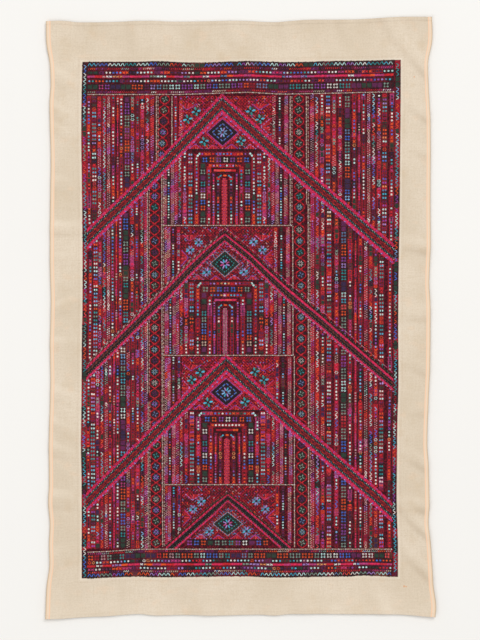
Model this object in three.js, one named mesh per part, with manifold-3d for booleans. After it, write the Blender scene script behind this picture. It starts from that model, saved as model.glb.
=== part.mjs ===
// Embroidered panel: a dense counted-thread embroidery sewn on a wider length of plain cream cotton.
// The cloth lies face up. +X runs along the weft, +Y towards the upper hem and +Z up. Units are millimetres.
// The origin is the middle of the cloth's box, on the surface that it lies on.

import * as THREE from 'three';
import * as BufferGeometryUtils from 'three/addons/utils/BufferGeometryUtils.js';
import Module from 'manifold-3d';

const wasm = await Module();
wasm.setup();

// Driving sizes.
const clothWidth = 500; // from selvedge to selvedge
const clothLength = 780; // from hem to hem
const clothThickness = 1.2;
const hemDepth = 4; // the narrow turned hem at the top and at the bottom
const hemExtra = 0.7; // how much thicker the turned hem is
const hemDrop = 0.6; // width of the step down from the hem
const selvedgeWidth = 5.5;
const panel = { left: -208, right: 208.5, top: 337, bottom: -340.5 };
const panelThickness = 1.3;
const sewnGap = 0.3; // between the two cloths
const embroideryRise = 0.5; // how far the heavy bands stand above the panel
const embroideryRoot = 0.6; // how deep they are rooted in it

// Grid pitch of the two cloths.
const panelColumns = 14;
const panelRows = 44;
const sideMarginCells = 3;
const endMarginCells = 3;
const bandStep = 20; // longest step along a raised band

// Outlines. Each row gives a place along the edge and how far the edge lies outside its straight line there.
const clothLeft = [
  { at: -391, out: 5.8 }, { at: -350, out: 4.3 }, { at: -324, out: 0.5 }, { at: -297, out: 1.2 },
  { at: -271, out: 0.1 }, { at: -245, out: 2.0 }, { at: -218, out: 1.1 }, { at: -166, out: 1.4 },
  { at: -113, out: -0.1 }, { at: -87, out: -0.8 }, { at: -34, out: -0.1 }, { at: 18, out: -1.3 },
  { at: 71, out: -0.1 }, { at: 150, out: -0.4 }, { at: 208, out: -1.2 }, { at: 282, out: 0.4 },
  { at: 308, out: -1.1 }, { at: 334, out: 0.1 }, { at: 361, out: 4.6 }, { at: 391, out: 5.0 },
];
const clothRight = [
  { at: -391, out: 6.4 }, { at: -376, out: 7.8 }, { at: -350, out: 4.3 }, { at: -324, out: 2.8 },
  { at: -297, out: 0.9 }, { at: -271, out: -2.0 }, { at: -245, out: -0.9 }, { at: -192, out: -2.1 },
  { at: -166, out: -3.7 }, { at: -113, out: -2.2 }, { at: -61, out: 0.0 }, { at: 18, out: 0.4 },
  { at: 45, out: -1.1 }, { at: 97, out: 0.7 }, { at: 150, out: 0.4 }, { at: 255, out: 0.5 },
  { at: 308, out: -2.1 }, { at: 334, out: -2.6 }, { at: 361, out: 2.8 }, { at: 391, out: 2.1 },
];
const clothTop = [
  { at: -255, out: -0.4 }, { at: -230, out: 0.7 }, { at: -211, out: -1.3 }, { at: -171, out: -0.7 },
  { at: -118, out: 0.9 }, { at: -92, out: -0.1 }, { at: -53, out: 0.1 }, { at: 0, out: 0.9 },
  { at: 46, out: -0.9 }, { at: 86, out: 2.1 }, { at: 145, out: 2.5 }, { at: 184, out: 4.5 },
  { at: 211, out: 6.2 }, { at: 255, out: 5.6 },
];
const clothBottom = [
  { at: -255, out: 5.5 }, { at: -230, out: 5.3 }, { at: -211, out: 3.8 }, { at: -171, out: 1.8 },
  { at: -132, out: -0.8 }, { at: -112, out: 1.2 }, { at: -72, out: 0.3 }, { at: -33, out: 1.3 },
  { at: 26, out: 0.0 }, { at: 46, out: 1.2 }, { at: 66, out: -0.7 }, { at: 164, out: -0.5 },
  { at: 211, out: 0.0 }, { at: 243, out: 2.5 }, { at: 257, out: 3.4 },
];
const panelLeft = [
  { at: -342, out: 0.1 }, { at: -218, out: 0.3 }, { at: -166, out: 1.2 }, { at: -113, out: 0.5 },
  { at: -34, out: 0.0 }, { at: 18, out: -0.9 }, { at: 97, out: -0.9 }, { at: 176, out: -0.1 },
  { at: 229, out: 0.7 }, { at: 282, out: 0.5 }, { at: 339, out: -0.8 },
];
const panelRight = [
  { at: -342, out: -0.8 }, { at: -297, out: -0.9 }, { at: -245, out: -2.5 }, { at: -192, out: -2.1 },
  { at: -139, out: -1.6 }, { at: -87, out: -0.1 }, { at: -8, out: -0.4 }, { at: 71, out: 0.3 },
  { at: 124, out: 1.3 }, { at: 203, out: 2.0 }, { at: 282, out: 2.8 }, { at: 339, out: 3.0 },
];
const panelTop = [
  { at: -208, out: -0.1 }, { at: -132, out: 0.1 }, { at: -112, out: 0.8 }, { at: -53, out: -1.1 },
  { at: 7, out: 0.8 }, { at: 66, out: -0.5 }, { at: 125, out: 0.9 }, { at: 164, out: 1.3 },
  { at: 211, out: 2.8 },
];
const panelBottom = [
  { at: -208, out: 2.1 }, { at: -171, out: 0.7 }, { at: -132, out: -0.5 }, { at: -112, out: 0.4 },
  { at: -53, out: -0.1 }, { at: 7, out: -0.7 }, { at: 46, out: 0.8 }, { at: 86, out: 0.1 },
  { at: 145, out: -0.8 }, { at: 164, out: -1.8 }, { at: 208, out: 0.1 },
];

// How the cloth curls up off the surface at each edge, and how far in the curl reaches.
const curls = [
  { edge: 'left', rise: 4.6, reach: 52 },
  { edge: 'right', rise: 4.2, reach: 48 },
  { edge: 'top', rise: 2.2, reach: 46 },
  { edge: 'bottom', rise: 3.6, reach: 54 },
];

// Soft ripples that start at an edge and die out inwards. slant is the shift along the edge per step inwards.
const ripples = [
  { edge: 'left', at: 322, slant: -0.55, reach: 66, half: 17, rise: 1.5 },
  { edge: 'left', at: 277, slant: -0.5, reach: 60, half: 15, rise: 1.2 },
  { edge: 'left', at: 249, slant: -0.3, reach: 52, half: 12, rise: 0.9 },
  { edge: 'left', at: 179, slant: -0.2, reach: 50, half: 14, rise: 1.0 },
  { edge: 'left', at: 117, slant: 0.0, reach: 70, half: 13, rise: 1.7 },
  { edge: 'left', at: 77, slant: 0.0, reach: 54, half: 12, rise: 0.9 },
  { edge: 'left', at: 8, slant: 0.4, reach: 70, half: 14, rise: 1.4 },
  { edge: 'left', at: -34, slant: 0.0, reach: 52, half: 12, rise: 1.1 },
  { edge: 'left', at: -98, slant: -0.3, reach: 58, half: 14, rise: 1.3 },
  { edge: 'left', at: -138, slant: -0.4, reach: 52, half: 12, rise: 0.9 },
  { edge: 'left', at: -170, slant: -0.4, reach: 60, half: 13, rise: 1.2 },
  { edge: 'left', at: -238, slant: -0.1, reach: 66, half: 17, rise: 1.7 },
  { edge: 'left', at: -318, slant: 0.2, reach: 58, half: 20, rise: 1.3 },
  { edge: 'right', at: 322, slant: 0.9, reach: 66, half: 17, rise: 1.5 },
  { edge: 'right', at: 262, slant: 0.7, reach: 56, half: 14, rise: 1.2 },
  { edge: 'right', at: 215, slant: 0.4, reach: 48, half: 12, rise: 0.8 },
  { edge: 'right', at: 92, slant: 0.2, reach: 68, half: 14, rise: 1.6 },
  { edge: 'right', at: 6, slant: 0.0, reach: 64, half: 15, rise: 1.3 },
  { edge: 'right', at: -70, slant: 0.4, reach: 54, half: 13, rise: 1.0 },
  { edge: 'right', at: -121, slant: 0.0, reach: 50, half: 12, rise: 0.8 },
  { edge: 'right', at: -196, slant: 0.6, reach: 60, half: 14, rise: 1.3 },
  { edge: 'right', at: -248, slant: 0.1, reach: 70, half: 14, rise: 1.7 },
  { edge: 'right', at: -286, slant: 1.0, reach: 62, half: 15, rise: 1.5 },
  { edge: 'right', at: -342, slant: 1.1, reach: 62, half: 17, rise: 1.5 },
  { edge: 'top', at: -203, slant: 0.0, reach: 64, half: 15, rise: 1.3 },
  { edge: 'top', at: -139, slant: 0.0, reach: 62, half: 13, rise: 1.4 },
  { edge: 'top', at: -14, slant: 0.1, reach: 40, half: 15, rise: 0.9 },
  { edge: 'top', at: 60, slant: 0.0, reach: 44, half: 16, rise: 0.9 },
  { edge: 'top', at: 136, slant: 0.2, reach: 46, half: 15, rise: 1.0 },
  { edge: 'top', at: 192, slant: 0.5, reach: 64, half: 16, rise: 1.2 },
  { edge: 'bottom', at: -176, slant: 0.1, reach: 52, half: 18, rise: 1.1 },
  { edge: 'bottom', at: -44, slant: 0.0, reach: 58, half: 20, rise: 1.2 },
  { edge: 'bottom', at: 84, slant: 0.0, reach: 56, half: 20, rise: 1.1 },
  { edge: 'bottom', at: 188, slant: -0.4, reach: 60, half: 18, rise: 1.3 },
];

// Broad low swells where the sewn panel doesn't lie quite flat.
const swells = [
  { x: -132, y: 236, long: 92, wide: 40, rise: 1.0 },
  { x: 118, y: 150, long: 110, wide: 44, rise: 0.9 },
  { x: -120, y: -96, long: 96, wide: 42, rise: 0.9 },
  { x: 126, y: -214, long: 104, wide: 40, rise: 1.0 },
];

// The raised bands of the embroidery, by the points of their middle lines and their depth from edge to edge.
const chevrons = [
  { depth: 30, points: [[-200, 104], [-100, 203.3], [-23.7, 281.7], [55.3, 210.7], [201.3, 85]] },
  { depth: 21, points: [[-202, -74.6], [-40.8, 88.9], [-20.1, 104.2], [81.6, 14.2], [201.3, -90]] },
  { depth: 29, points: [[-202, -241.5], [-113.2, -151.7], [-18.2, -59.7], [76.3, -146.2], [201.3, -254.9]] },
  { depth: 16, points: [[-93.5, -303], [-15.8, -235], [62.4, -303]] },
];
const diamonds = [
  { x: -22.9, y: 244.7, halfWidth: 19.1, halfHeight: 16.8 },
  { x: -19.9, y: 71.3, halfWidth: 16.8, halfHeight: 15.4 },
  { x: -18.4, y: -97.7, halfWidth: 18.7, halfHeight: 16.4 },
  { x: -16.6, y: -270.7, halfWidth: 17.1, halfHeight: 13.9 },
];
const laidCordWidth = 2.2;
const fieldCords = [
  { left: -201, right: 202, y: 294.4 },
  { left: -201, right: 202, y: -304.5 },
];
const storeyCords = [
  { left: -99, right: 67, y: 123.0 },
  { left: -99, right: 68, y: -49.4 },
  { left: -98, right: 70, y: -219.8 },
];
const chainBands = [
  { topX: -99.3, middleX: -112.4, bottomX: -110.0, width: 15 },
  { topX: 77.0, middleX: 78.5, bottomX: 81.5, width: 15 },
];
const chainReach = { top: 292, middle: 150, bottom: -302 };

const creamCotton = new THREE.MeshStandardMaterial({ color: 0xdccbb0, roughness: 0.92, metalness: 0 });
const wineEmbroidery = new THREE.MeshStandardMaterial({ color: 0x73283a, roughness: 0.78, metalness: 0 });

// A smooth curve through an outline's rows.
function outline(rows) {
  const places = rows.map((row) => row.at);
  const amounts = rows.map((row) => row.out);
  const curve = new THREE.CubicInterpolant(places, amounts, 1, [0]);
  return (at) => curve.evaluate(THREE.MathUtils.clamp(at, places[0], places[places.length - 1]))[0];
}

const leftAt = outline(clothLeft);
const rightAt = outline(clothRight);
const topAt = outline(clothTop);
const bottomAt = outline(clothBottom);
const panelLeftAt = outline(panelLeft);
const panelRightAt = outline(panelRight);
const panelTopAt = outline(panelTop);
const panelBottomAt = outline(panelBottom);

// Inside these lines the pattern runs straight, so the cloth rests on a true rectangle.
const straight = {
  left: panel.left + (panel.right - panel.left) / panelColumns,
  right: panel.right - (panel.right - panel.left) / panelColumns,
  bottom: panel.bottom + (2 * (panel.top - panel.bottom)) / panelRows,
  top: panel.top - (2 * (panel.top - panel.bottom)) / panelRows,
};
const columnLines = [-clothWidth / 2, panel.left, straight.left, straight.right, panel.right, clothWidth / 2];
const rowLines = [-clothLength / 2, panel.bottom, straight.bottom, straight.top, panel.top, clothLength / 2];

// The shift at a place among lines whose own shifts are known.
function between(at, lines, shifts) {
  let k = 0;
  while (k < lines.length - 2 && at > lines[k + 1]) k += 1;
  const share = (at - lines[k]) / (lines[k + 1] - lines[k]);
  return shifts[k] + (shifts[k + 1] - shifts[k]) * share;
}

// Where a point of the straight pattern lies in the uneven cloth.
function place(x, y) {
  const shiftX = between(x, columnLines, [-leftAt(y), -panelLeftAt(y), 0, 0, panelRightAt(y), rightAt(y)]);
  const shiftY = between(y, rowLines, [-bottomAt(x), -panelBottomAt(x), 0, 0, panelTopAt(x), topAt(x)]);
  return [x + shiftX, y + shiftY];
}

// A smooth hump of height 1 that ends at a distance of 1.
function hump(t) {
  const c = Math.min(Math.abs(t), 1);
  return (1 - c * c) ** 2;
}

// How far in from an edge a point is, and how far along it.
function fromEdge(edge, x, y) {
  if (edge === 'left') return [x + clothWidth / 2, y];
  if (edge === 'right') return [clothWidth / 2 - x, y];
  if (edge === 'top') return [clothLength / 2 - y, x];
  return [y + clothLength / 2, x];
}

// The height of the cloth's underside above the surface that it lies on.
function lift(x, y) {
  let height = 0;
  for (const curl of curls) {
    const [inward] = fromEdge(curl.edge, x, y);
    height += curl.rise * Math.max(1 - inward / curl.reach, 0) ** 2;
  }
  for (const ripple of ripples) {
    const [inward, along] = fromEdge(ripple.edge, x, y);
    const across = (along - ripple.at - ripple.slant * inward) / ripple.half;
    height += ripple.rise * hump(across) * hump(inward / ripple.reach);
  }
  for (const swell of swells) {
    height += swell.rise * hump((x - swell.x) / swell.long) * hump((y - swell.y) / swell.wide);
  }
  return height;
}

function steps(from, to, count) {
  return Array.from({ length: count + 1 }, (_, i) => from + ((to - from) * i) / count);
}

function closed(positions, faces) {
  const geometry = new THREE.BufferGeometry();
  geometry.setAttribute('position', new THREE.Float32BufferAttribute(positions, 3));
  geometry.setIndex(faces);
  return geometry;
}

// A closed sheet over a grid of straight-pattern columns and rows.
function sheet(columns, rows, seat, thicknessAt) {
  const across = columns.length;
  const positions = [];
  for (const layer of [0, 1]) {
    for (const y of rows) {
      for (const x of columns) {
        const under = lift(x, y) + seat;
        positions.push(...place(x, y), under + layer * thicknessAt(y));
      }
    }
  }
  const upper = across * rows.length;
  const at = (column, row, layer) => layer * upper + row * across + column;
  const faces = [];
  const quad = (a, b, c, d) => faces.push(a, b, c, a, c, d);
  for (let j = 0; j + 1 < rows.length; j += 1) {
    for (let i = 0; i + 1 < across; i += 1) {
      quad(at(i, j, 1), at(i + 1, j, 1), at(i + 1, j + 1, 1), at(i, j + 1, 1));
      quad(at(i, j, 0), at(i, j + 1, 0), at(i + 1, j + 1, 0), at(i + 1, j, 0));
    }
  }
  const lastRow = rows.length - 1;
  for (let i = 0; i + 1 < across; i += 1) {
    quad(at(i, 0, 0), at(i + 1, 0, 0), at(i + 1, 0, 1), at(i, 0, 1));
    quad(at(i + 1, lastRow, 0), at(i, lastRow, 0), at(i, lastRow, 1), at(i + 1, lastRow, 1));
  }
  const lastColumn = across - 1;
  for (let j = 0; j < lastRow; j += 1) {
    quad(at(0, j + 1, 0), at(0, j, 0), at(0, j, 1), at(0, j + 1, 1));
    quad(at(lastColumn, j, 0), at(lastColumn, j + 1, 0), at(lastColumn, j + 1, 1), at(lastColumn, j, 1));
  }
  return closed(positions, faces);
}

const panelSeat = clothThickness + sewnGap;
const panelFace = panelSeat + panelThickness;

// A band laid on the panel's face: each station is its lower and its upper edge point.
function laidBand(stations) {
  const positions = [];
  for (const [x, low, high] of stations) {
    for (const [px, py] of [[x[0], low], [x[1], high]]) {
      const face = lift(px, py) + panelFace;
      const [sx, sy] = place(px, py);
      positions.push(sx, sy, face - embroideryRoot, sx, sy, face + embroideryRise);
    }
  }
  const faces = [];
  const quad = (a, b, c, d) => faces.push(a, b, c, a, c, d);
  const perStation = 4;
  for (let k = 0; k + 1 < stations.length; k += 1) {
    const a = k * perStation;
    const b = a + perStation;
    quad(a + 1, b + 1, b + 3, a + 3);
    quad(a, a + 2, b + 2, b);
    quad(a, b, b + 1, a + 1);
    quad(a + 2, a + 3, b + 3, b + 2);
  }
  const end = (stations.length - 1) * perStation;
  quad(0, 1, 3, 2);
  quad(end, end + 2, end + 3, end + 1);
  return closed(positions, faces);
}

// A band that runs from left to right through the given points, with the same depth up and down.
function runningBand(points, depth) {
  const stations = [];
  for (let k = 0; k + 1 < points.length; k += 1) {
    const [x0, y0] = points[k];
    const [x1, y1] = points[k + 1];
    const count = Math.ceil(Math.hypot(x1 - x0, y1 - y0) / bandStep);
    for (let i = k === 0 ? 0 : 1; i <= count; i += 1) {
      const x = x0 + ((x1 - x0) * i) / count;
      const y = y0 + ((y1 - y0) * i) / count;
      stations.push([[x, x], y - depth / 2, y + depth / 2]);
    }
  }
  return laidBand(stations);
}

// An upright band through the given points, from its foot to its head.
function uprightBand(points, width) {
  const stations = [];
  for (let k = 0; k + 1 < points.length; k += 1) {
    const [x0, y0] = points[k];
    const [x1, y1] = points[k + 1];
    const count = Math.ceil(Math.abs(y1 - y0) / bandStep);
    for (let i = k === 0 ? 0 : 1; i <= count; i += 1) {
      const x = x0 + ((x1 - x0) * i) / count;
      const y = y0 + ((y1 - y0) * i) / count;
      stations.push([[x + width / 2, x - width / 2], y, y]);
    }
  }
  return laidBand(stations);
}

// A lozenge is a running band that widens from a blunt corner to its middle and narrows again.
function lozenge({ x, y, halfWidth, halfHeight }) {
  const blunt = 0.06;
  const stations = [-1, 0, 1].map((side) => {
    const half = halfHeight * (side === 0 ? 1 : blunt);
    const across = x + side * halfWidth;
    return [[across, across], y - half, y + half];
  });
  return laidBand(stations);
}

function toSolid(geometry) {
  const bare = geometry.clone();
  bare.deleteAttribute('normal');
  bare.deleteAttribute('uv');
  const merged = BufferGeometryUtils.mergeVertices(bare);
  const mesh = new wasm.Mesh({
    numProp: 3,
    vertProperties: Float32Array.from(merged.attributes.position.array),
    triVerts: Uint32Array.from(merged.index.array),
  });
  mesh.merge();
  return new wasm.Manifold(mesh);
}

function toGeometry(solid) {
  const mesh = solid.getMesh();
  return closed(Array.from(mesh.vertProperties), Array.from(mesh.triVerts));
}

// Columns and rows of the cream cloth. Its middle block is the panel's own grid, so the two cloths keep one gap.
const panelXs = steps(panel.left, panel.right, panelColumns);
const panelYs = steps(panel.bottom, panel.top, panelRows);
const halfWidth = clothWidth / 2;
const halfLength = clothLength / 2;
const hemLine = halfLength - hemDepth;
const stepLine = hemLine - hemDrop;
const clothXs = [
  -halfWidth,
  ...steps(-halfWidth + selvedgeWidth, panel.left, sideMarginCells).slice(0, -1),
  ...panelXs,
  ...steps(panel.right, halfWidth - selvedgeWidth, sideMarginCells).slice(1),
  halfWidth,
];
const clothYs = [
  -halfLength,
  -hemLine,
  ...steps(-stepLine, panel.bottom, endMarginCells).slice(0, -1),
  ...panelYs,
  ...steps(panel.top, stepLine, endMarginCells).slice(1),
  hemLine,
  halfLength,
];

function makeCreamCloth() {
  const thicknessAt = (y) => clothThickness + (Math.abs(y) > stepLine + hemDrop / 2 ? hemExtra : 0);
  return new THREE.Mesh(sheet(clothXs, clothYs, 0, thicknessAt), creamCotton);
}

function makeEmbroideredPanel() {
  const bands = chevrons.map(({ points, depth }) => runningBand(points, depth));
  for (const diamond of diamonds) bands.push(lozenge(diamond));
  for (const { left, right, y } of [...fieldCords, ...storeyCords]) {
    bands.push(runningBand([[left, y], [right, y]], laidCordWidth));
  }
  for (const { topX, middleX, bottomX, width } of chainBands) {
    const { top, middle, bottom } = chainReach;
    bands.push(uprightBand([[bottomX, bottom], [middleX, middle], [topX, top]], width));
  }
  let solid = toSolid(sheet(panelXs, panelYs, panelSeat, () => panelThickness));
  for (const band of bands) solid = solid.add(toSolid(band));
  return new THREE.Mesh(toGeometry(solid), wineEmbroidery);
}

const creamCloth = makeCreamCloth();
creamCloth.name = 'cream_cloth';
const embroideredPanel = makeEmbroideredPanel();
embroideredPanel.name = 'embroidered_panel';

const object = new THREE.Group();
object.add(creamCloth, embroideredPanel);

// The origin goes to the middle of the box. The underside already lies at zero.
const box = new THREE.Box3().setFromObject(object);
const middle = box.getCenter(new THREE.Vector3());
for (const mesh of [creamCloth, embroideredPanel]) mesh.geometry.translate(-middle.x, -middle.y, 0);

export default object;
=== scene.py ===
"""The looks of the embroidered panel: woven cream cotton, and each stitch as its own small mound of silk.

The pattern is drawn straight, in millimetres, with the panel's middle line near x = 0 and y up the cloth.
place() then bends it into the uneven outline, and lift() lays it on the cloth's curls and ripples, as the
CAD part does.
"""
import math
import random

import bpy
import numpy as np
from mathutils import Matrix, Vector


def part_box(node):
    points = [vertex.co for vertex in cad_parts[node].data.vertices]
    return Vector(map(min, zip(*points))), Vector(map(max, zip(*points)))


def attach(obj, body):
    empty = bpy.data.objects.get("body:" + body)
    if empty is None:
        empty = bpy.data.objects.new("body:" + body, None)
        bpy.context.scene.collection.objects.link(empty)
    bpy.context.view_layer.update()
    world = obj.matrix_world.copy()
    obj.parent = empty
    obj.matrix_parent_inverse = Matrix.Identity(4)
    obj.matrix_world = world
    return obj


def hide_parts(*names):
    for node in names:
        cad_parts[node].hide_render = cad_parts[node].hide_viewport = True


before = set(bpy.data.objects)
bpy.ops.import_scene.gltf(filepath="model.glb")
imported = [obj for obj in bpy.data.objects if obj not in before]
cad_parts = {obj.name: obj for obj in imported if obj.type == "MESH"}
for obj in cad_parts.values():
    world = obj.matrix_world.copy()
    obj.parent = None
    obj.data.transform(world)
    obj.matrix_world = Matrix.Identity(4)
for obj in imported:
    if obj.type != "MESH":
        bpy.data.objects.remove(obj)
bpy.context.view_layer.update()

MM = 0.001
chance = random.Random(7)


def table(names, *rows):
    """Rows of values under named columns."""
    return [dict(zip(names.split(), row)) for row in rows]


# Driving sizes, in millimetres, as in the CAD part
CLOTH_WIDTH, CLOTH_LENGTH, CLOTH_THICKNESS = 500, 780, 1.2
HEM_DEPTH, HEM_EXTRA, HEM_DROP = 4.0, 0.7, 0.6
LEFT, RIGHT, BOTTOM, TOP = -208, 208.5, -340.5, 337
PANEL_THICKNESS, SEWN_GAP = 1.3, 0.3
PANEL_SEAT = CLOTH_THICKNESS + SEWN_GAP
PANEL_FACE = PANEL_SEAT + PANEL_THICKNESS
STRAIGHT_LEFT = LEFT + (RIGHT - LEFT) / 14
STRAIGHT_RIGHT = RIGHT - (RIGHT - LEFT) / 14
STRAIGHT_BOTTOM = BOTTOM + (TOP - BOTTOM) * 2 / 44
STRAIGHT_TOP = TOP - (TOP - BOTTOM) * 2 / 44

# Outlines, measured on the photo: a place along the edge, and how far the edge lies outside its line there
CLOTH_LEFT = (
    (-391, 5.8), (-350, 4.3), (-324, 0.5), (-297, 1.2), (-271, 0.1), (-245, 2.0), (-218, 1.1),
    (-166, 1.4), (-113, -0.1), (-87, -0.8), (-34, -0.1), (18, -1.3), (71, -0.1), (150, -0.4),
    (208, -1.2), (282, 0.4), (308, -1.1), (334, 0.1), (361, 4.6), (391, 5.0))
CLOTH_RIGHT = (
    (-391, 6.4), (-376, 7.8), (-350, 4.3), (-324, 2.8), (-297, 0.9), (-271, -2.0), (-245, -0.9),
    (-192, -2.1), (-166, -3.7), (-113, -2.2), (-61, 0.0), (18, 0.4), (45, -1.1), (97, 0.7), (150, 0.4),
    (255, 0.5), (308, -2.1), (334, -2.6), (361, 2.8), (391, 2.1))
CLOTH_TOP = (
    (-255, -0.4), (-230, 0.7), (-211, -1.3), (-171, -0.7), (-118, 0.9), (-92, -0.1), (-53, 0.1),
    (0, 0.9), (46, -0.9), (86, 2.1), (145, 2.5), (184, 4.5), (211, 6.2), (255, 5.6))
CLOTH_BOTTOM = (
    (-255, 5.5), (-230, 5.3), (-211, 3.8), (-171, 1.8), (-132, -0.8), (-112, 1.2), (-72, 0.3),
    (-33, 1.3), (26, 0.0), (46, 1.2), (66, -0.7), (164, -0.5), (211, 0.0), (243, 2.5), (257, 3.4))
PANEL_LEFT = (
    (-342, 0.1), (-218, 0.3), (-166, 1.2), (-113, 0.5), (-34, 0.0), (18, -0.9), (97, -0.9), (176, -0.1),
    (229, 0.7), (282, 0.5), (339, -0.8))
PANEL_RIGHT = (
    (-342, -0.8), (-297, -0.9), (-245, -2.5), (-192, -2.1), (-139, -1.6), (-87, -0.1), (-8, -0.4),
    (71, 0.3), (124, 1.3), (203, 2.0), (282, 2.8), (339, 3.0))
PANEL_TOP = (
    (-208, -0.1), (-132, 0.1), (-112, 0.8), (-53, -1.1), (7, 0.8), (66, -0.5), (125, 0.9), (164, 1.3),
    (211, 2.8))
PANEL_BOTTOM = (
    (-208, 2.1), (-171, 0.7), (-132, -0.5), (-112, 0.4), (-53, -0.1), (7, -0.7), (46, 0.8), (86, 0.1),
    (145, -0.8), (164, -1.8), (208, 0.1))

CURLS = table(
    "edge rise reach",
    ("left", 4.6, 52), ("right", 4.2, 48), ("top", 2.2, 46), ("bottom", 3.6, 54))
RIPPLES = table(
    "edge at slant reach half rise",
    ("left", 322, -0.55, 66, 17, 1.5), ("left", 277, -0.5, 60, 15, 1.2),
    ("left", 249, -0.3, 52, 12, 0.9), ("left", 179, -0.2, 50, 14, 1.0), ("left", 117, 0.0, 70, 13, 1.7),
    ("left", 77, 0.0, 54, 12, 0.9), ("left", 8, 0.4, 70, 14, 1.4), ("left", -34, 0.0, 52, 12, 1.1),
    ("left", -98, -0.3, 58, 14, 1.3), ("left", -138, -0.4, 52, 12, 0.9),
    ("left", -170, -0.4, 60, 13, 1.2), ("left", -238, -0.1, 66, 17, 1.7),
    ("left", -318, 0.2, 58, 20, 1.3), ("right", 322, 0.9, 66, 17, 1.5),
    ("right", 262, 0.7, 56, 14, 1.2), ("right", 215, 0.4, 48, 12, 0.8), ("right", 92, 0.2, 68, 14, 1.6),
    ("right", 6, 0.0, 64, 15, 1.3), ("right", -70, 0.4, 54, 13, 1.0), ("right", -121, 0.0, 50, 12, 0.8),
    ("right", -196, 0.6, 60, 14, 1.3), ("right", -248, 0.1, 70, 14, 1.7),
    ("right", -286, 1.0, 62, 15, 1.5), ("right", -342, 1.1, 62, 17, 1.5),
    ("top", -203, 0.0, 64, 15, 1.3), ("top", -139, 0.0, 62, 13, 1.4), ("top", -14, 0.1, 40, 15, 0.9),
    ("top", 60, 0.0, 44, 16, 0.9), ("top", 136, 0.2, 46, 15, 1.0), ("top", 192, 0.5, 64, 16, 1.2),
    ("bottom", -176, 0.1, 52, 18, 1.1), ("bottom", -44, 0.0, 58, 20, 1.2),
    ("bottom", 84, 0.0, 56, 20, 1.1), ("bottom", 188, -0.4, 60, 18, 1.3))
SWELLS = table(
    "x y long wide rise",
    (-132, 236, 92, 40, 1.0), (118, 150, 110, 44, 0.9), (-120, -96, 96, 42, 0.9),
    (126, -214, 104, 40, 1.0))

# The chevrons: points down each arm with the place of the middle line and the distance between the two
# pink bands
CHEVRONS = table(
    "kind points",
    ("heavy", (
            (-204, 101.7, 23.3), (-118.4, 184.6, 22.6), (-65.8, 238.8, 22.4), (-23.7, 282.4, 22.4),
            (39.5, 224.6, 22.4), (118.4, 157.2, 22.4), (205, 81.5, 22.4))),
    ("light", (
            (-204, -74.0, 15.4), (-92.1, 36.8, 16.2), (-65.8, 64.2, 15.1), (-42, 87.1, 12.9),
            (-20.1, 106.2, 9.6), (13.2, 78.9, 10.8), (40, 52.9, 13.0), (65.8, 29.1, 14.2),
            (100, 0.7, 14.0), (205, -90.0, 13.4))),
    ("heavy", (
            (-204, -244.6, 21.6), (-92.1, -131.9, 21.8), (-65.8, -105.9, 22.2), (-18.2, -60.4, 21.6),
            (39.5, -113.2, 22.2), (118.4, -182.8, 22.0), (205, -258.3, 22.0))),
    ("small", (
            (-98, -308.4, 12.0), (-35, -252.6, 12.0), (-16.2, -236.0, 8.4), (5, -253.5, 11.0),
            (67, -307.8, 11.4))))
NOMINAL_SPREAD = {"heavy": 22.4, "light": 15.8, "small": 15.8}
CHEVRON_REACH = {"heavy": (-13.8, 13.2), "light": (-11.6, 13.4), "small": (-11.6, 13.4)}
CHEVRON_ENDS = (-201.2, 202.0)


def outline(rows):
    """A smooth curve through an outline's rows."""
    at, out = np.array(rows, float).T
    steep = np.concatenate([
        [(out[1] - out[0]) / (at[1] - at[0])],
        (out[2:] - out[:-2]) / (at[2:] - at[:-2]),
        [(out[-1] - out[-2]) / (at[-1] - at[-2])],
    ])

    def curve(where):
        where = np.clip(where, at[0], at[-1])
        k = np.clip(np.searchsorted(at, where) - 1, 0, len(at) - 2)
        span = at[k + 1] - at[k]
        t = (where - at[k]) / span
        return ((2 * t**3 - 3 * t**2 + 1) * out[k] + (t**3 - 2 * t**2 + t) * span * steep[k]
                + (3 * t**2 - 2 * t**3) * out[k + 1] + (t**3 - t**2) * span * steep[k + 1])
    return curve


cloth_left, cloth_right, cloth_top, cloth_bottom, panel_left, panel_right, panel_top, panel_bottom = (
    outline(rows) for rows in (CLOTH_LEFT, CLOTH_RIGHT, CLOTH_TOP, CLOTH_BOTTOM,
                               PANEL_LEFT, PANEL_RIGHT, PANEL_TOP, PANEL_BOTTOM))
COLUMN_LINES = np.array([-CLOTH_WIDTH / 2, LEFT, STRAIGHT_LEFT, STRAIGHT_RIGHT, RIGHT, CLOTH_WIDTH / 2])
ROW_LINES = np.array([-CLOTH_LENGTH / 2, BOTTOM, STRAIGHT_BOTTOM, STRAIGHT_TOP, TOP, CLOTH_LENGTH / 2])


def between(at, lines, shifts):
    k = np.clip(np.searchsorted(lines, at) - 1, 0, len(lines) - 2)
    share = (at - lines[k]) / (lines[k + 1] - lines[k])
    shifts = np.stack(shifts)
    each = np.arange(len(at))
    return shifts[k, each] * (1 - share) + shifts[k + 1, each] * share


def place(x, y):
    """Where points of the straight pattern lie in the uneven cloth."""
    none = np.zeros(len(x))
    out_x = [-cloth_left(y), -panel_left(y), none, none, panel_right(y), cloth_right(y)]
    out_y = [-cloth_bottom(x), -panel_bottom(x), none, none, panel_top(x), cloth_top(x)]
    return x + between(x, COLUMN_LINES, out_x), y + between(y, ROW_LINES, out_y)


def hump(t):
    return (1 - np.minimum(np.abs(t), 1) ** 2) ** 2


def from_edge(edge, x, y):
    half_width, half_length = CLOTH_WIDTH / 2, CLOTH_LENGTH / 2
    return {"left": (x + half_width, y), "right": (half_width - x, y),
            "top": (half_length - y, x), "bottom": (y + half_length, x)}[edge]


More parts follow.
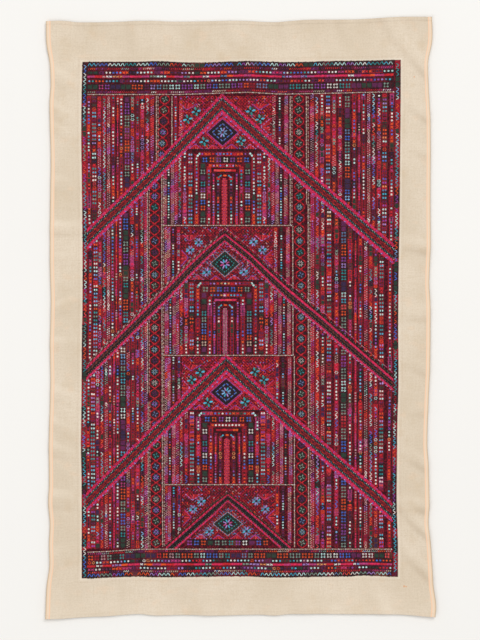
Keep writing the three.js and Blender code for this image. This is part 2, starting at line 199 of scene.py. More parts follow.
def lift(x, y):
    """The height of the cloth's underside above the floor."""
    height = np.zeros(len(x))
    for c in CURLS:
        inward, _ = from_edge(c["edge"], x, y)
        height += c["rise"] * np.maximum(1 - inward / c["reach"], 0) ** 2
    for r in RIPPLES:
        inward, along = from_edge(r["edge"], x, y)
        across = (along - r["at"] - r["slant"] * inward) / r["half"]
        height += r["rise"] * hump(across) * hump(inward / r["reach"])
    for s in SWELLS:
        height += s["rise"] * hump((x - s["x"]) / s["long"]) * hump((y - s["y"]) / s["wide"])
    return height


def flat_array(values):
    return np.asarray(values, np.float32).ravel()


def new_mesh(name, points, corners, sizes, maps):
    """A mesh object from points in millimetres, face corners, face sizes and UV maps given per point."""
    mesh = bpy.data.meshes.new(name)
    mesh.vertices.add(len(points))
    mesh.vertices.foreach_set("co", flat_array(points * MM))
    mesh.loops.add(len(corners))
    mesh.loops.foreach_set("vertex_index", corners.astype(np.int32))
    mesh.polygons.add(len(sizes))
    mesh.polygons.foreach_set("loop_start", np.concatenate([[0], np.cumsum(sizes)[:-1]]).astype(np.int32))
    mesh.polygons.foreach_set("use_smooth", np.ones(len(sizes), bool))
    for map_name, uv in maps.items():
        layer = mesh.uv_layers.new(name=map_name)
        layer.data.foreach_set("uv", flat_array(uv[corners]))
    mesh.update(calc_edges=True)
    mesh.validate()
    piece = bpy.data.objects.new(name, mesh)
    bpy.context.scene.collection.objects.link(piece)
    return piece


BAKE_MARGIN = 1.04


def bake_map(points):
    """A plan-view map that keeps the whole cloth inside the unit square."""
    return points[:, :2] / (CLOTH_LENGTH * BAKE_MARGIN) + 0.5


# The middle of the cloth's box in the pattern's frame goes to the middle of the CAD cloth's box
EDGE_ROWS, EDGE_COLUMNS = 400, 300
edge_y = np.linspace(-CLOTH_LENGTH / 2, CLOTH_LENGTH / 2, EDGE_ROWS)
edge_x = np.linspace(-CLOTH_WIDTH / 2, CLOTH_WIDTH / 2, EDGE_COLUMNS)
left_x = place(np.full(EDGE_ROWS, -CLOTH_WIDTH / 2), edge_y)[0]
right_x = place(np.full(EDGE_ROWS, CLOTH_WIDTH / 2), edge_y)[0]
foot_y = place(edge_x, np.full(EDGE_COLUMNS, -CLOTH_LENGTH / 2))[1]
head_y = place(edge_x, np.full(EDGE_COLUMNS, CLOTH_LENGTH / 2))[1]
cad_low, cad_high = (np.array(corner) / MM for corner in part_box("cream_cloth"))
SHIFT_X = (cad_low[0] + cad_high[0]) / 2 - (left_x.min() + right_x.max()) / 2
SHIFT_Y = (cad_low[1] + cad_high[1]) / 2 - (foot_y.min() + head_y.max()) / 2


FOLD_CONTRAST = 0.75


# This lean towards the light sets the painted shade and light of the folds in the cotton's colour
def fold_shade(x, y):
    """How far the cloth leans towards the light at each point, about 0.5."""
    step = 0.8
    lean_x = (lift(x + step, y) - lift(x - step, y)) / (2 * step)
    lean_y = (lift(x, y + step) - lift(x, y - step)) / (2 * step)
    return np.clip(0.5 - FOLD_CONTRAST * (0.3 * lean_x + lean_y), 0, 1)


def settle(x, y, above):
    """Points of the pattern, at a height above the cloth's underside, as they lie in the row's frame."""
    px, py = place(x, y)
    return np.stack([px + SHIFT_X, py + SHIFT_Y, lift(x, y) + above], axis=1)


# Materials
def linear(colour):
    """An sRGB colour of 0 to 255 as Blender's linear values."""
    return tuple(((c / 255 + 0.055) / 1.055) ** 2.4 if c > 10 else c / 255 / 12.92 for c in colour) + (1.0,)


class Nodes:
    """A short way to add and join shader nodes."""

    def __init__(self, name):
        self.material = bpy.data.materials.new(name)
        self.material.use_nodes = True
        self.tree = self.material.node_tree
        self.shader = self.tree.nodes["Principled BSDF"]

    def add(self, kind, inputs=None, **settings):
        node = self.tree.nodes.new(kind)
        for key, value in settings.items():
            setattr(node, key, value)
        for key, value in (inputs or {}).items():
            if isinstance(value, bpy.types.NodeSocket):
                self.tree.links.new(value, node.inputs[key])
            else:
                node.inputs[key].default_value = value
        return node

    def maths(self, operation, a, b=0.0, c=0.0):
        return self.add("ShaderNodeMath", {0: a, 1: b, 2: c}, operation=operation).outputs[0]

    def mix(self, share, a, b, blend="MIX"):
        node = self.add("ShaderNodeMix", data_type="RGBA", blend_type=blend)
        for socket, value in ((node.inputs[0], share), (node.inputs[6], a), (node.inputs[7], b)):
            if isinstance(value, bpy.types.NodeSocket):
                self.tree.links.new(value, socket)
            else:
                socket.default_value = value
        return node.outputs[2]

    def noise(self, vector, scale, detail=2.0, roughness=0.5):
        return self.add("ShaderNodeTexNoise", {"Vector": vector, "Scale": scale, "Detail": detail,
                                               "Roughness": roughness}).outputs["Fac"]

    def stretch(self, vector, by):
        return self.add("ShaderNodeMapping", {"Vector": vector, "Scale": by}).outputs[0]

    def uv(self, name):
        return self.add("ShaderNodeUVMap", uv_map=name).outputs[0]

    def place(self):
        return self.add("ShaderNodeTexCoord").outputs["Object"]

    def bump(self, height, strength, distance):
        node = self.add("ShaderNodeBump", {"Height": height, "Strength": strength, "Distance": distance})
        self.link(node.outputs[0], "Normal")

    def link(self, output, socket):
        self.tree.links.new(output, self.shader.inputs[socket])

    def set(self, **values):
        for key, value in values.items():
            self.shader.inputs[key.replace("_", " ")].default_value = value


def threads(n, coordinate, pitch):
    """Rounded threads across one coordinate, as a height from 0 to 1."""
    turn = n.maths("MULTIPLY", coordinate, 2 * math.pi / pitch)
    wave = n.maths("SINE", turn)
    return n.maths("MULTIPLY_ADD", wave, 0.5, 0.5)


def band(n, value, middle, half, soft):
    """A mask that is 1 where a value lies near the middle of a band."""
    away = n.maths("ABSOLUTE", n.maths("SUBTRACT", value, middle * MM))
    return n.add("ShaderNodeMapRange", {0: away, 1: (half + soft) * MM, 2: half * MM, 3: 0.0, 4: 1.0},
                 interpolation_type="SMOOTHSTEP").outputs[0]


def over_half(n, value, low, high, most):
    """A soft step of a noise from low to high, up to a given strength."""
    return n.add("ShaderNodeMapRange", {0: value, 1: low, 2: high, 3: 0.0, 4: most},
                 interpolation_type="SMOOTHSTEP").outputs[0]


# The selvedge's stripe: place in from the edge, half its width, softness, colour and strength
STRIPE = (
    (3.2, 1.6, 0.9, (240, 217, 194), 0.95), (4.7, 0.4, 0.7, (246, 204, 170), 0.9),
    (1.7, 0.4, 0.7, (236, 206, 174), 0.75), (0.2, 0.5, 0.7, (206, 181, 150), 0.9))
LOOSE_THREADS = (((229.2, 316.5), 0.7), ((216.0, -353.0), 1.0), ((218.4, -353.4), 0.6))


def cotton():
    """Plain-woven unbleached cotton with slubs, stains, a peach stripe in each selvedge, and painted shade and
    light on its folds and round the panel.
    """
    n = Nodes("cream_cotton")
    at = n.uv("Grain")
    axes = n.add("ShaderNodeSeparateXYZ", {0: at})
    across, along = axes.outputs[0], axes.outputs[1]
    wobble = n.maths("MULTIPLY_ADD", n.noise(at, 90.0, 2.0), 3.0 * MM, 0.0)
    thread_pitch = 1.1 * MM
    warp = threads(n, n.maths("ADD", across, wobble), thread_pitch)
    weft = threads(n, n.maths("ADD", along, wobble), thread_pitch)
    weave = n.maths("MULTIPLY", warp, weft)
    slub_warp = n.noise(n.stretch(at, (620, 40, 1)), 1.0, 2.0)
    slub_weft = n.noise(n.stretch(at, (46, 560, 1)), 1.0, 2.0)
    slubs = n.maths("ADD", slub_warp, slub_weft)
    grain = n.noise(at, 480.0, 2.0, 0.7)
    cloud = n.noise(at, 11.0, 3.0, 0.6)
    stain = n.noise(at, 27.0, 3.0, 0.6)
    peach = n.noise(n.stretch(at, (1.0, 1.4, 1)), 47.0, 2.0, 0.5)
    base = n.mix(over_half(n, cloud, 0.35, 0.65, 1.0), linear((229, 214, 194)), linear((220, 204, 182)))
    base = n.mix(over_half(n, stain, 0.52, 0.75, 0.4), base, linear((211, 187, 154)))
    base = n.mix(over_half(n, peach, 0.56, 0.74, 0.35), base, linear((234, 205, 176)))
    base = n.mix(over_half(n, slubs, 0.9, 1.3, 0.3), base, linear((206, 187, 160)))
    base = n.mix(over_half(n, grain, 0.35, 0.7, 0.32), base, linear((196, 177, 152)))
    base = n.mix(n.maths("MULTIPLY", weave, 0.06), base, linear((250, 238, 220)))

    # Painted shade and painted light on the slopes of the folds: darker where the cloth leans away from the
    # light, lighter where it leans towards it. Round the panel, a painted highlight and a seam line of painted
    # shade
    painted_fold_shade = n.add("ShaderNodeSeparateXYZ", {0: n.uv("FoldShade")}).outputs[0]
    base = n.mix(over_half(n, painted_fold_shade, 0.5, 0.2, 0.55), base, linear((178, 156, 128)))
    base = n.mix(over_half(n, painted_fold_shade, 0.5, 0.8, 0.5), base, linear((252, 240, 222)))
    middle = n.add("ShaderNodeVectorMath", {0: at, 1: ((LEFT + RIGHT) / 2 * MM, (BOTTOM + TOP) / 2 * MM, 0)},
                   operation="SUBTRACT").outputs[0]
    off = n.add("ShaderNodeSeparateXYZ", {0: n.add("ShaderNodeVectorMath", {0: middle},
                                                   operation="ABSOLUTE").outputs[0]})
    outside = n.maths("MAXIMUM", n.maths("SUBTRACT", off.outputs[0], (RIGHT - LEFT) / 2 * MM),
                      n.maths("SUBTRACT", off.outputs[1], (TOP - BOTTOM) / 2 * MM))
    # A painted highlight in a thin line just outside the panel's edge
    base = n.mix(n.maths("MULTIPLY", band(n, outside, 1.7, 0.5, 0.9), 0.5), base, linear((242, 230, 212)))
    # Painted shade in a faint seam line a few millimetres outside the panel
    base = n.mix(n.maths("MULTIPLY", band(n, outside, 5.4, 0.3, 0.6), 0.12), base, linear((186, 164, 136)))

    # The stripe of each selvedge, from its edge inwards, and a few loose threads
    inset = n.maths("SUBTRACT", CLOTH_WIDTH / 2 * MM, n.maths("ABSOLUTE", across))
    stripe_shade = n.maths("MULTIPLY_ADD", cloud, 0.4, 0.7)
    for place_in, half, soft, colour, most in STRIPE:
        mask = n.maths("MULTIPLY", band(n, inset, place_in, half, soft),
                       n.maths("MULTIPLY", stripe_shade, most))
        base = n.mix(mask, base, linear(colour))
    for spot, size in LOOSE_THREADS:
        reach = n.add("ShaderNodeVectorMath", {0: at, 1: (spot[0] * MM, spot[1] * MM, 0)},
                      operation="DISTANCE").outputs["Value"]
        base = n.mix(n.maths("MULTIPLY", band(n, reach, 0.0, size, 0.5), 0.6), base, linear((224, 150, 92)))
    n.link(base, "Base Color")
    n.set(Roughness=0.93, Sheen_Weight=0.1, Sheen_Roughness=0.6, Specular_IOR_Level=0.2)
    rough = n.maths("ADD", n.maths("MULTIPLY", slubs, 0.8), n.maths("MULTIPLY", grain, 1.2))
    n.bump(n.maths("ADD", weave, rough), 0.35, 0.25 * MM)
    return n.material


def ground_cloth():
    """The dark cloth of the panel, closely covered with short wine-red stitches."""
    n = Nodes("embroidery_ground")
    at = n.place()
    cell = n.add("ShaderNodeTexVoronoi", {"Vector": at, "Scale": 620.0, "Randomness": 0.7})
    shade = n.add("ShaderNodeSeparateColor", {0: cell.outputs["Color"]}).outputs[0]
    cloud = n.noise(at, 60.0, 3.0)
    base = n.mix(n.maths("GREATER_THAN", shade, 0.6), linear((60, 12, 22)), linear((112, 17, 35)))
    base = n.mix(n.maths("MULTIPLY", cloud, 0.4), base, linear((34, 12, 20)))
    n.link(base, "Base Color")
    n.set(Roughness=0.88, Sheen_Weight=0.03, Specular_IOR_Level=0.15)
    n.bump(cell.outputs["Distance"], 0.5, 0.25 * MM)
    return n.material


def silk(name, colour):
    """Floss silk: fine strands along each stitch, and small shifts of shade from stitch to stitch."""
    n = Nodes("silk_" + name)
    axes = n.add("ShaderNodeSeparateXYZ", {0: n.uv("Thread")})
    strand = threads(n, axes.outputs[1], 0.3)
    shade = n.noise(n.place(), 330.0, 1.0)
    wear = n.noise(n.place(), 24.0, 3.0, 0.6)
    light = linear([min(255, c * 1.16 + 4) for c in colour])
    dark = linear([c * 0.74 for c in colour])
    base = n.mix(n.maths("MULTIPLY_ADD", shade, 1.6, -0.3), dark, light)
    base = n.mix(n.maths("MULTIPLY", n.maths("SUBTRACT", wear, 0.5), 0.4), base, linear((110, 60, 60)))
    n.link(base, "Base Color")
    n.set(Roughness=0.66, Sheen_Weight=0.06, Sheen_Roughness=0.4, Specular_IOR_Level=0.25)
    n.bump(strand, 0.35, 0.08 * MM)
    return n.material


# The thread colours, in sRGB
SILK = {
    "crimson": (156, 14, 36), "red": (196, 28, 38), "maroon": (90, 12, 28), "soot": (28, 14, 20),
    "pink": (208, 34, 80), "rose": (176, 56, 112), "plum": (92, 26, 74), "violet": (138, 66, 156),
    "lavender": (160, 128, 194), "orange": (234, 78, 28), "amber": (216, 142, 84), "teal": (32, 138, 142),
    "cyan": (62, 168, 196), "blue": (60, 104, 196), "sky": (122, 172, 220), "mint": (182, 230, 220),
    "white": (234, 224, 212), "moss": (32, 54, 42), "navy": (48, 26, 64), "ash": (178, 138, 142),
    "flax": (188, 166, 146), "sage": (122, 146, 134), "bark": (96, 50, 38), "slate": (96, 124, 164),
    "salmon": (222, 66, 74),
}
# Threads that stand in for another here and there
KIN = {thread: kin.split() for thread, kin in {
    "mint": "white sage cyan", "white": "mint ash sky", "lavender": "violet slate",
    "cyan": "teal sky mint", "blue": "slate violet sky", "sky": "blue cyan lavender",
    "teal": "cyan sage moss", "orange": "red salmon crimson", "plum": "violet navy maroon",
    "navy": "plum soot", "moss": "soot moss", "sage": "ash mint slate", "ash": "flax rose",
    "violet": "plum lavender rose", "rose": "pink violet", "pink": "rose crimson",
    "red": "orange crimson", "amber": "orange white", "crimson": "red maroon", "slate": "blue sage",
    "flax": "ash white",
}.items()}
STAND_IN = 0.2
PURE_UNITS = ("block", "hatch", "satin")  # units that keep their own thread

# A stitch's own mesh, a ring at its foot and a ridge: a mound, a long stitch, and a plain one for the grounds
FORMS = {
    "mound": {
        "points": ((1, -.45, 0), (1, .45, 0), (.62, 1, 0), (-.62, 1, 0), (-1, .45, 0), (-1, -.45, 0),
                   (-.62, -1, 0), (.62, -1, 0), (-.45, 0, 1), (.45, 0, 1)),
        "faces": ((0, 1, 9), (1, 2, 9), (2, 3, 8), (2, 8, 9), (3, 4, 8), (4, 5, 8), (5, 6, 8), (6, 7, 9),
                  (6, 9, 8), (7, 0, 9)),
    },
    "long": {
        "points": ((-1, 0, 0), (-.82, -1, 0), (.82, -1, 0), (1, 0, 0), (.82, 1, 0), (-.82, 1, 0),
                   (-.78, 0, 1), (.78, 0, 1)),
        "faces": ((0, 1, 6), (1, 2, 7), (1, 7, 6), (2, 3, 7), (3, 4, 7), (4, 5, 6), (4, 6, 7), (5, 0, 6)),
    },
    "plain": {
        "points": ((-1, -1, 0), (1, -1, 0), (1, 1, 0), (-1, 1, 0), (-.8, 0, 1), (.8, 0, 1)),
        "faces": ((0, 1, 5), (0, 5, 4), (1, 2, 5), (2, 3, 4), (2, 4, 5), (3, 0, 4)),
    },
}
FORM_NAMES = list(FORMS)
ROOT = 0.12  # how deep a stitch's foot sinks into what it lies on

stitches = {name: [] for name in SILK}


def stitch(colour, x, y, length, width, turn=0.0, base=0.0, height=0.55, form="mound", over=False):
    """One stitch: its middle, its length and width, its turn from the weft in degrees, and its height.

    over is true for the chevrons' own stitches. The others stop where a chevron runs over them."""
    stitches[colour].append((x, y, length / 2, width / 2, math.radians(turn), base, height,
                             FORM_NAMES.index(form), over))


def line(colour, start, end, width, base=0.2, height=0.5, form="long", over=False):
    """One long stitch from a point to another."""
    (x0, y0), (x1, y1) = start, end
    turn = math.degrees(math.atan2(y1 - y0, x1 - x0))
    length = math.hypot(x1 - x0, y1 - y0)
    stitch(colour, (x0 + x1) / 2, (y0 + y1) / 2, length, width, turn, base, height, form, over)


def run_of_lines(colours, points, width, longest=3.2, **more):
    """Long stitches end to end through the points, in the colours in turn."""
    colours = colours.split()
    made = 0
    for (x0, y0), (x1, y1) in zip(points, points[1:]):
        count = max(1, round(math.hypot(x1 - x0, y1 - y0) / longest))
        for i in range(count):
            a, b = i / count, (i + 1) / count
            line(colours[made % len(colours)], (x0 + (x1 - x0) * a, y0 + (y1 - y0) * a),
                 (x0 + (x1 - x0) * b, y0 + (y1 - y0) * b), width, **more)
            made += 1


def middle_line(chevron, x):
    """The height of a chevron's middle line at x, or NaN beside it."""
    px, py, _ = np.array(chevron["points"], float).T
    return np.interp(x, px, py, left=np.nan, right=np.nan)


def spread(chevron, x):
    """How wide the chevron's rows are spread at x, where 1 is as written in its table of rows."""
    px, _, wide = np.array(chevron["points"], float).T
    return np.interp(x, px, wide) / NOMINAL_SPREAD[chevron["kind"]]


class Strip:
    """A narrow row or column of stitches. s runs along it and t across it."""

    def __init__(self, at, start, end, width, upright):
        self.at, self.start, self.end, self.width, self.upright = at, start, end, width, upright

    def spot(self, s, t):
        middle = self.at(s) if callable(self.at) else self.at
        return (middle + t, s) if self.upright else (s, middle + t)

    def mound(self, colour, s, t, along, across, turn=0.0, base=0.2, height=0.65):
        stitch(colour, *self.spot(s, t), along, across, (90 - turn) if self.upright else turn, base, height)

    def bar(self, colour, start, end, width, **more):
        line(colour, self.spot(*start), self.spot(*end), width, **more)


GAP_LOOK = {"base": 0.15, "height": 0.4, "form": "plain"}


# One unit of each kind of stitching, from s along its strip. p is the unit's length.
def unit_dots(strip, colour, s, p):
    strip.mound(colour, s + p / 2, 0, 2.4, 2.2)
    strip.bar(pick(GAPS)[0], (s, -1.2), (s + 0.2, 1.2), 1.2, **GAP_LOOK)


def unit_beads(strip, colour, s, p):
    strip.mound(colour, s + p / 2, 0, 1.9, 2.0, height=0.55)


def unit_pairs(strip, colour, s, p):
    for side in (-1, 1):
        strip.mound(colour, s + p / 2, side * 1.45, 2.4, 2.0)
    strip.bar(pick(GAPS)[0], (s, -1.9), (s + 0.2, 1.9), 1.2, **GAP_LOOK)


def unit_ring(strip, colour, s, p):
    reach = min(strip.width * 0.36, 1.75)
    for k in range(6):
        angle = math.radians(30 + 60 * k)
        strip.mound(colour, s + p / 2 + 1.6 * math.cos(angle), reach * math.sin(angle), 1.2, 1.1, height=0.55)


def unit_square(strip, colour, s, p):
    step = min(1.95, strip.width * 0.29)
    for i in (-1, 0, 1):
        for j in (-1, 0, 1):
            if i or j:
                size = 1.9 if i and j else 0.95
                strip.mound(colour, s + p / 2 + i * step, j * step, size, size, turn=45 * i * j, height=0.6)


def unit_block(strip, colour, s, p):
    reach = strip.width * 0.38
    for k in range(5):
        at = s + p * (0.1 + 0.8 * (k + 0.5) / 5)
        strip.bar(colour, (at, -reach), (at, reach), p * 0.18, base=0.18, height=0.4, form="plain")


def unit_zigzag(strip, colour, s, p):
    reach = strip.width * 0.3
    for a, b, side in ((0.04, 0.46, -1), (0.54, 0.96, 1)):
        strip.bar(colour, (s + a * p, side * reach), (s + b * p, -side * reach), 0.95)


def unit_lattice(strip, colour, s, p):
    reach = strip.width * 0.32
    for side in (-1, 1):
        strip.bar(colour, (s, 0), (s + p / 2, side * reach), 0.85)
        strip.bar(colour, (s + p / 2, side * reach), (s + p, 0), 0.85)


def unit_weave(strip, colour, s, p):
    for share, side in ((0.25, -1), (0.75, 1)):
        strip.mound(colour, s + p * share, side * min(1.15, strip.width * 0.26), 1.45, 1.4, height=0.5)


def unit_cross(strip, colour, s, p):
    reach = min(strip.width * 0.33, 1.7)
    for side in (-1, 1):
        strip.bar(colour, (s + p * 0.12, -reach * side), (s + p * 0.88, reach * side), 1.1)


def unit_dash(strip, colour, s, p):
    strip.bar(colour, (s + p * 0.06, 0), (s + p * 0.94, 0), strip.width * 0.55)


def unit_hatch(strip, colour, s, p):
    reach = strip.width * 0.44
    for side, start in ((-1, 0.0), (1, 1.15)):
        near, far = sorted((side * reach, side * 0.1))
        tone = chance.choice(KIN.get(colour, ("rose",))) if chance.random() < 0.12 else colour
        strip.bar(tone, (s + start, near), (s + start + 1.0, far), 0.95, height=0.6)


def unit_satin(strip, colour, s, p):
    reach = strip.width * 0.46
    strip.bar(colour, (s, -reach), (s + p * 0.4, reach), p * 1.1)


def unit_ticks(strip, colour, s, p):
    reach = strip.width * 0.36
    strip.bar(colour, (s + p * 0.2, -reach), (s + p * 0.8, reach), 1.0)


UNITS = {
    "dots": (unit_dots, 4.55), "beads": (unit_beads, 3.5), "pairs": (unit_pairs, 5.0),
    "ring": (unit_ring, 5.2),
    "square": (unit_square, 8.2), "block": (unit_block, 6.8), "zigzag": (unit_zigzag, 5.4),
    "lattice": (unit_lattice, 4.4), "weave": (unit_weave, 3.0), "cross": (unit_cross, 4.5),
    "dash": (unit_dash, 3.4), "hatch": (unit_hatch, 2.2),
    "satin": (unit_satin, 1.6), "ticks": (unit_ticks, 2.6),
}


def runs(text):
    """Runs, with commas between them: unit, colour, units in a run, and how often the run comes."""
    rows = [row.split() for row in text.split(",")]
    return [(unit, colour, int(count), float(often)) for unit, colour, count, often in rows]


# The runs in each kind of column
RUNS = {
    "dots": runs(
        "dots mint 2 4.6, dots white 2 3.6, dots lavender 2 2, dots cyan 1 2, dots blue 2 2.4, "
        "dots plum 2 2, dots teal 1 1.6, dots sky 1 1.4, block moss 1 1, ring amber 1 1, "
        "cross orange 2 2.6, dots red 2 1.2, cross rose 2 1.8, dots navy 2 2, dots moss 2 1.2, "
        "dots orange 2 1.2"),
    "mixed": runs(
        "ring lavender 2 1.8, ring orange 1 2, cross orange 2 2.8, cross pink 2 1.2, ring mint 1 1.6, "
        "dots mint 2 1.8, dots white 2 1.2, cross sage 2 1.4, weave ash 4 1.6, block moss 1 1.2, "
        "block navy 1 1, cross rose 2 1.6, dots violet 2 1.4, zigzag blue 1 1.6, zigzag white 1 1.4, "
        "dots sky 1 1.2, dots navy 2 1.6"),
    "pairs": runs(
        "pairs cyan 1 3.6, pairs orange 1 1.4, pairs mint 1 2.6, pairs teal 2 2.4, pairs blue 1 2.2, "
        "ring orange 1 1.4, pairs white 1 1.6, pairs moss 1 2.4, pairs plum 1 2.4, pairs lavender 1 2, "
        "pairs sky 1 1.4, pairs amber 1 1, cross red 1 0.8"),
    "squares": runs(
        "square sage 1 3, square orange 1 2.4, square blue 1 2.4, square violet 1 2, square teal 1 2, "
        "block moss 1 3, block plum 1 1, block navy 1 2, square white 1 0.9, square mint 1 0.6, "
        "square slate 1 1.2"),
    "zigzag": runs(
        "zigzag teal 2 3, zigzag mint 2 3, zigzag orange 2 2.4, zigzag blue 2 1.6, block moss 1 1.4, "
        "zigzag white 1 2, zigzag cyan 1 2, zigzag sage 2 1.6, weave plum 2 0.8, zigzag lavender 1 1.4"),
    "edging": runs(
        "zigzag teal 2 3, zigzag cyan 2 3, zigzag orange 2 2.2, zigzag blue 2 2.2, zigzag mint 2 1.8, "
        "zigzag violet 1 1.2, block moss 1 1.8, zigzag sage 2 0.6"),
    "lattice": runs(
        "weave ash 5 4, weave sage 4 2, lattice ash 2 2, weave orange 3 1, weave lavender 3 1.4, "
        "weave plum 3 1, lattice white 1 1.4, weave mint 2 1.4"),
    "lilac": runs(
        "weave lavender 4 3, weave rose 4 2, weave ash 5 3, weave violet 3 1.6, beads lavender 2 1, "
        "weave orange 3 0.9, weave salmon 4 0.5"),
    "small": runs(
        "beads navy 3 2, beads teal 2 2.4, beads moss 3 2, beads blue 2 2, cross rose 1 1, "
        "beads mint 2 1.4, cross orange 1 1.6, beads plum 3 2"),
    "line": runs(
        "dash pink 5 3, dash red 4 1.5, dash rose 4 2, beads ash 3 1.5, dash plum 4 2.4, "
        "dash orange 3 1.2, beads white 2 0.6"),
    "thin": runs(
        "cross plum 3 1.6, beads lavender 3 2, dash violet 3 1.4, dash rose 3 2, beads white 2 1, "
        "dash orange 3 1.2, beads rose 3 1.6, beads blue 2 1"),
    "rope": runs(
        "hatch ash 6 4, hatch lavender 4 2.4, hatch flax 4 1, hatch rose 4 1.4"),
    "hem_ticks": runs(
        "ticks red 7 2, ticks rose 6 1.4, ticks flax 6 1.1, ticks plum 6 3, ticks orange 4 1, "
        "ticks sage 4 0.8, ticks white 3 0.6"),
    "pink": runs(
        "satin pink 9 5, satin rose 6 2, satin orange 4 1.4, satin red 6 1.8, cross white 2 1.6, "
        "cross lavender 2 1.4, cross sage 2 1, cross amber 2 0.8"),
    "beads": runs(
        "beads mint 2 3, beads plum 2 2, beads cyan 2 2.4, beads moss 2 2, beads orange 1 1.4, "
        "beads white 2 2, beads lavender 2 1.4, beads blue 2 1.6"),
}
GAPS = (("soot", 4.5), ("maroon", 1.4), ("bark", 0.8))
RED = (("crimson", 5.2), ("maroon", 1.8), ("soot", 0.6), ("red", 1.1), ("bark", 0.4), ("rose", 0.5))
PLUM = (("maroon", 2.8), ("plum", 2), ("crimson", 1), ("soot", 3))
EDGE = (("crimson", 3), ("soot", 3), ("maroon", 1))
DARK = (("soot", 5), ("maroon", 1.2), ("bark", 0.6))


def pick(rows):
    """One of the rows, as often as its last value says."""
    return chance.choices(rows, [row[-1] for row in rows])[0]


GROUND_OVERLAP = 0.6
GROUND_LOOK = {"base": 0.0, "height": 0.3, "form": "plain"}


def lay_ground(strip, grounds, pitch=1.5):
    """Short dark stitches side by side across a strip."""
    s = strip.start
    reach = strip.width / 2 + GROUND_OVERLAP
    while s < strip.end:
        colour = pick(grounds)[0]
        for _ in range(chance.randint(3, 12)):
            if s < strip.end:
                strip.bar(colour, (s, -reach), (s + 0.3, reach), pitch * 1.1, **GROUND_LOOK)
                s += pitch


def fill(strip, kind, grounds=RED):
    """Fills a strip with runs of stitching on its ground."""
    lay_ground(strip, grounds)
    s, last = strip.start, None
    while s < strip.end - 2:
        unit, colour, count, _ = pick(RUNS[kind])
        if colour == last:
            continue
        last = colour
        draw, pitch = UNITS[unit]
        for _ in range(2 if kind == "squares" else max(1, count + chance.randint(0, 1))):
            if s + pitch < strip.end + 0.6:
                other = chance.random() < STAND_IN and unit not in PURE_UNITS and colour in KIN
                draw(strip, chance.choice(KIN[colour]) if other else colour, s, pitch)
            s += pitch


def upright(kind, x, low, high, width, grounds=RED):
    if high - low > 4:
        fill(Strip(x, low, high, width, True), kind, grounds)


def level(kind, y, start, end, width, grounds=RED):
    fill(Strip(y, start, end, width, False), kind, grounds)


# Threads of the couched cords' first and second row, in turn
CORD_THREADS = (("flax", "flax", "flax", "ash", "white"), ("ash", "flax", "bark"))
CORD_PITCH, CORD_WIDTH, CORD_STITCH, CORD_ROW_GAP = 1.7, 1.05, 1.8, 2.3


def cord(points, rows=1, over=False):
    """Couched cords: pale slanting stitches over a laid thread, in one or two rows."""
    for (x0, y0), (x1, y1) in zip(points, points[1:]):
        length = math.hypot(x1 - x0, y1 - y0)
        heading = math.degrees(math.atan2(y1 - y0, x1 - x0))
        ux, uy = (x1 - x0) / length, (y1 - y0) / length
        for k in range(max(1, round(length / CORD_PITCH))):
            s = (k + 0.5) * CORD_PITCH
            for row in range(rows):
                t = (row - (rows - 1) / 2) * CORD_ROW_GAP
                threads_in_turn = CORD_THREADS[row]
                colour = threads_in_turn[k % len(threads_in_turn)]
                slant = heading + (38 if row % 2 else 142)
                x, y = x0 + ux * s - uy * t, y0 + uy * s + ux * t
                stitch(colour, x, y, CORD_STITCH, CORD_WIDTH, slant, 0.15, 0.8, "long", over)


# Rows of the bands along the upper and the lower edge: kind, place in each, depth of the row and its ground
BAND_ROWS = table(
    "kind upper lower depth ground",
    ("zigzag", 333.4, -336.9, 6.2, DARK), ("hem_ticks", 327.9, -333.2, 3.0, PLUM),
    ("dots", 322.8, -329.1, 4.0, PLUM), ("pink", 317.6, -324.2, 3.0, PLUM),
    ("dots", 311.6, -319.4, 4.0, PLUM), ("squares", 304.0, -312.6, 7.4, DARK),
    ("hem_ticks", 297.2, -306.9, 2.4, PLUM))
BAND_START, BAND_END = -200.6, 201.4
UPPER_CORD, LOWER_CORD = 294.1, -304.2
# How far the upper band rides up, and the lower one down, along their length
UPPER_WAVE = ((-200, 0), (-79, 0), (13, 3.1), (52.6, 0.3), (204, 3.6))
LOWER_WAVE = ((-203, -4.0), (-175, -3.2), (-150, -1.3), (-125, 0), (204, 0))
BORDERS = (-204.4, 204.8)


def wave(x, y):
    """How far a row at height y of either band is moved at x. It fades out towards the panel's edge."""
    rows, cord_y, edge = (UPPER_WAVE, UPPER_CORD, TOP) if y > 0 else (LOWER_WAVE, LOWER_CORD, BOTTOM)
    height = np.interp(x, *np.array(rows, float).T)
    return float(height * (1 - max(0, (y - cord_y) / (edge - cord_y))))


def make_bands():
    for row in BAND_ROWS:
        for y in (row["upper"], row["lower"]):
            level(row["kind"], lambda s, y=y: y + wave(s, y), BAND_START, BAND_END, row["depth"],
                  row["ground"])
    for y in (UPPER_CORD, LOWER_CORD):
        cord([(x, y + wave(x, y)) for x in np.linspace(BAND_START, BAND_END, 24)])
    for x in BORDERS:
        upright("edging", x, BOTTOM + 1, TOP - 1, 5.6, EDGE)


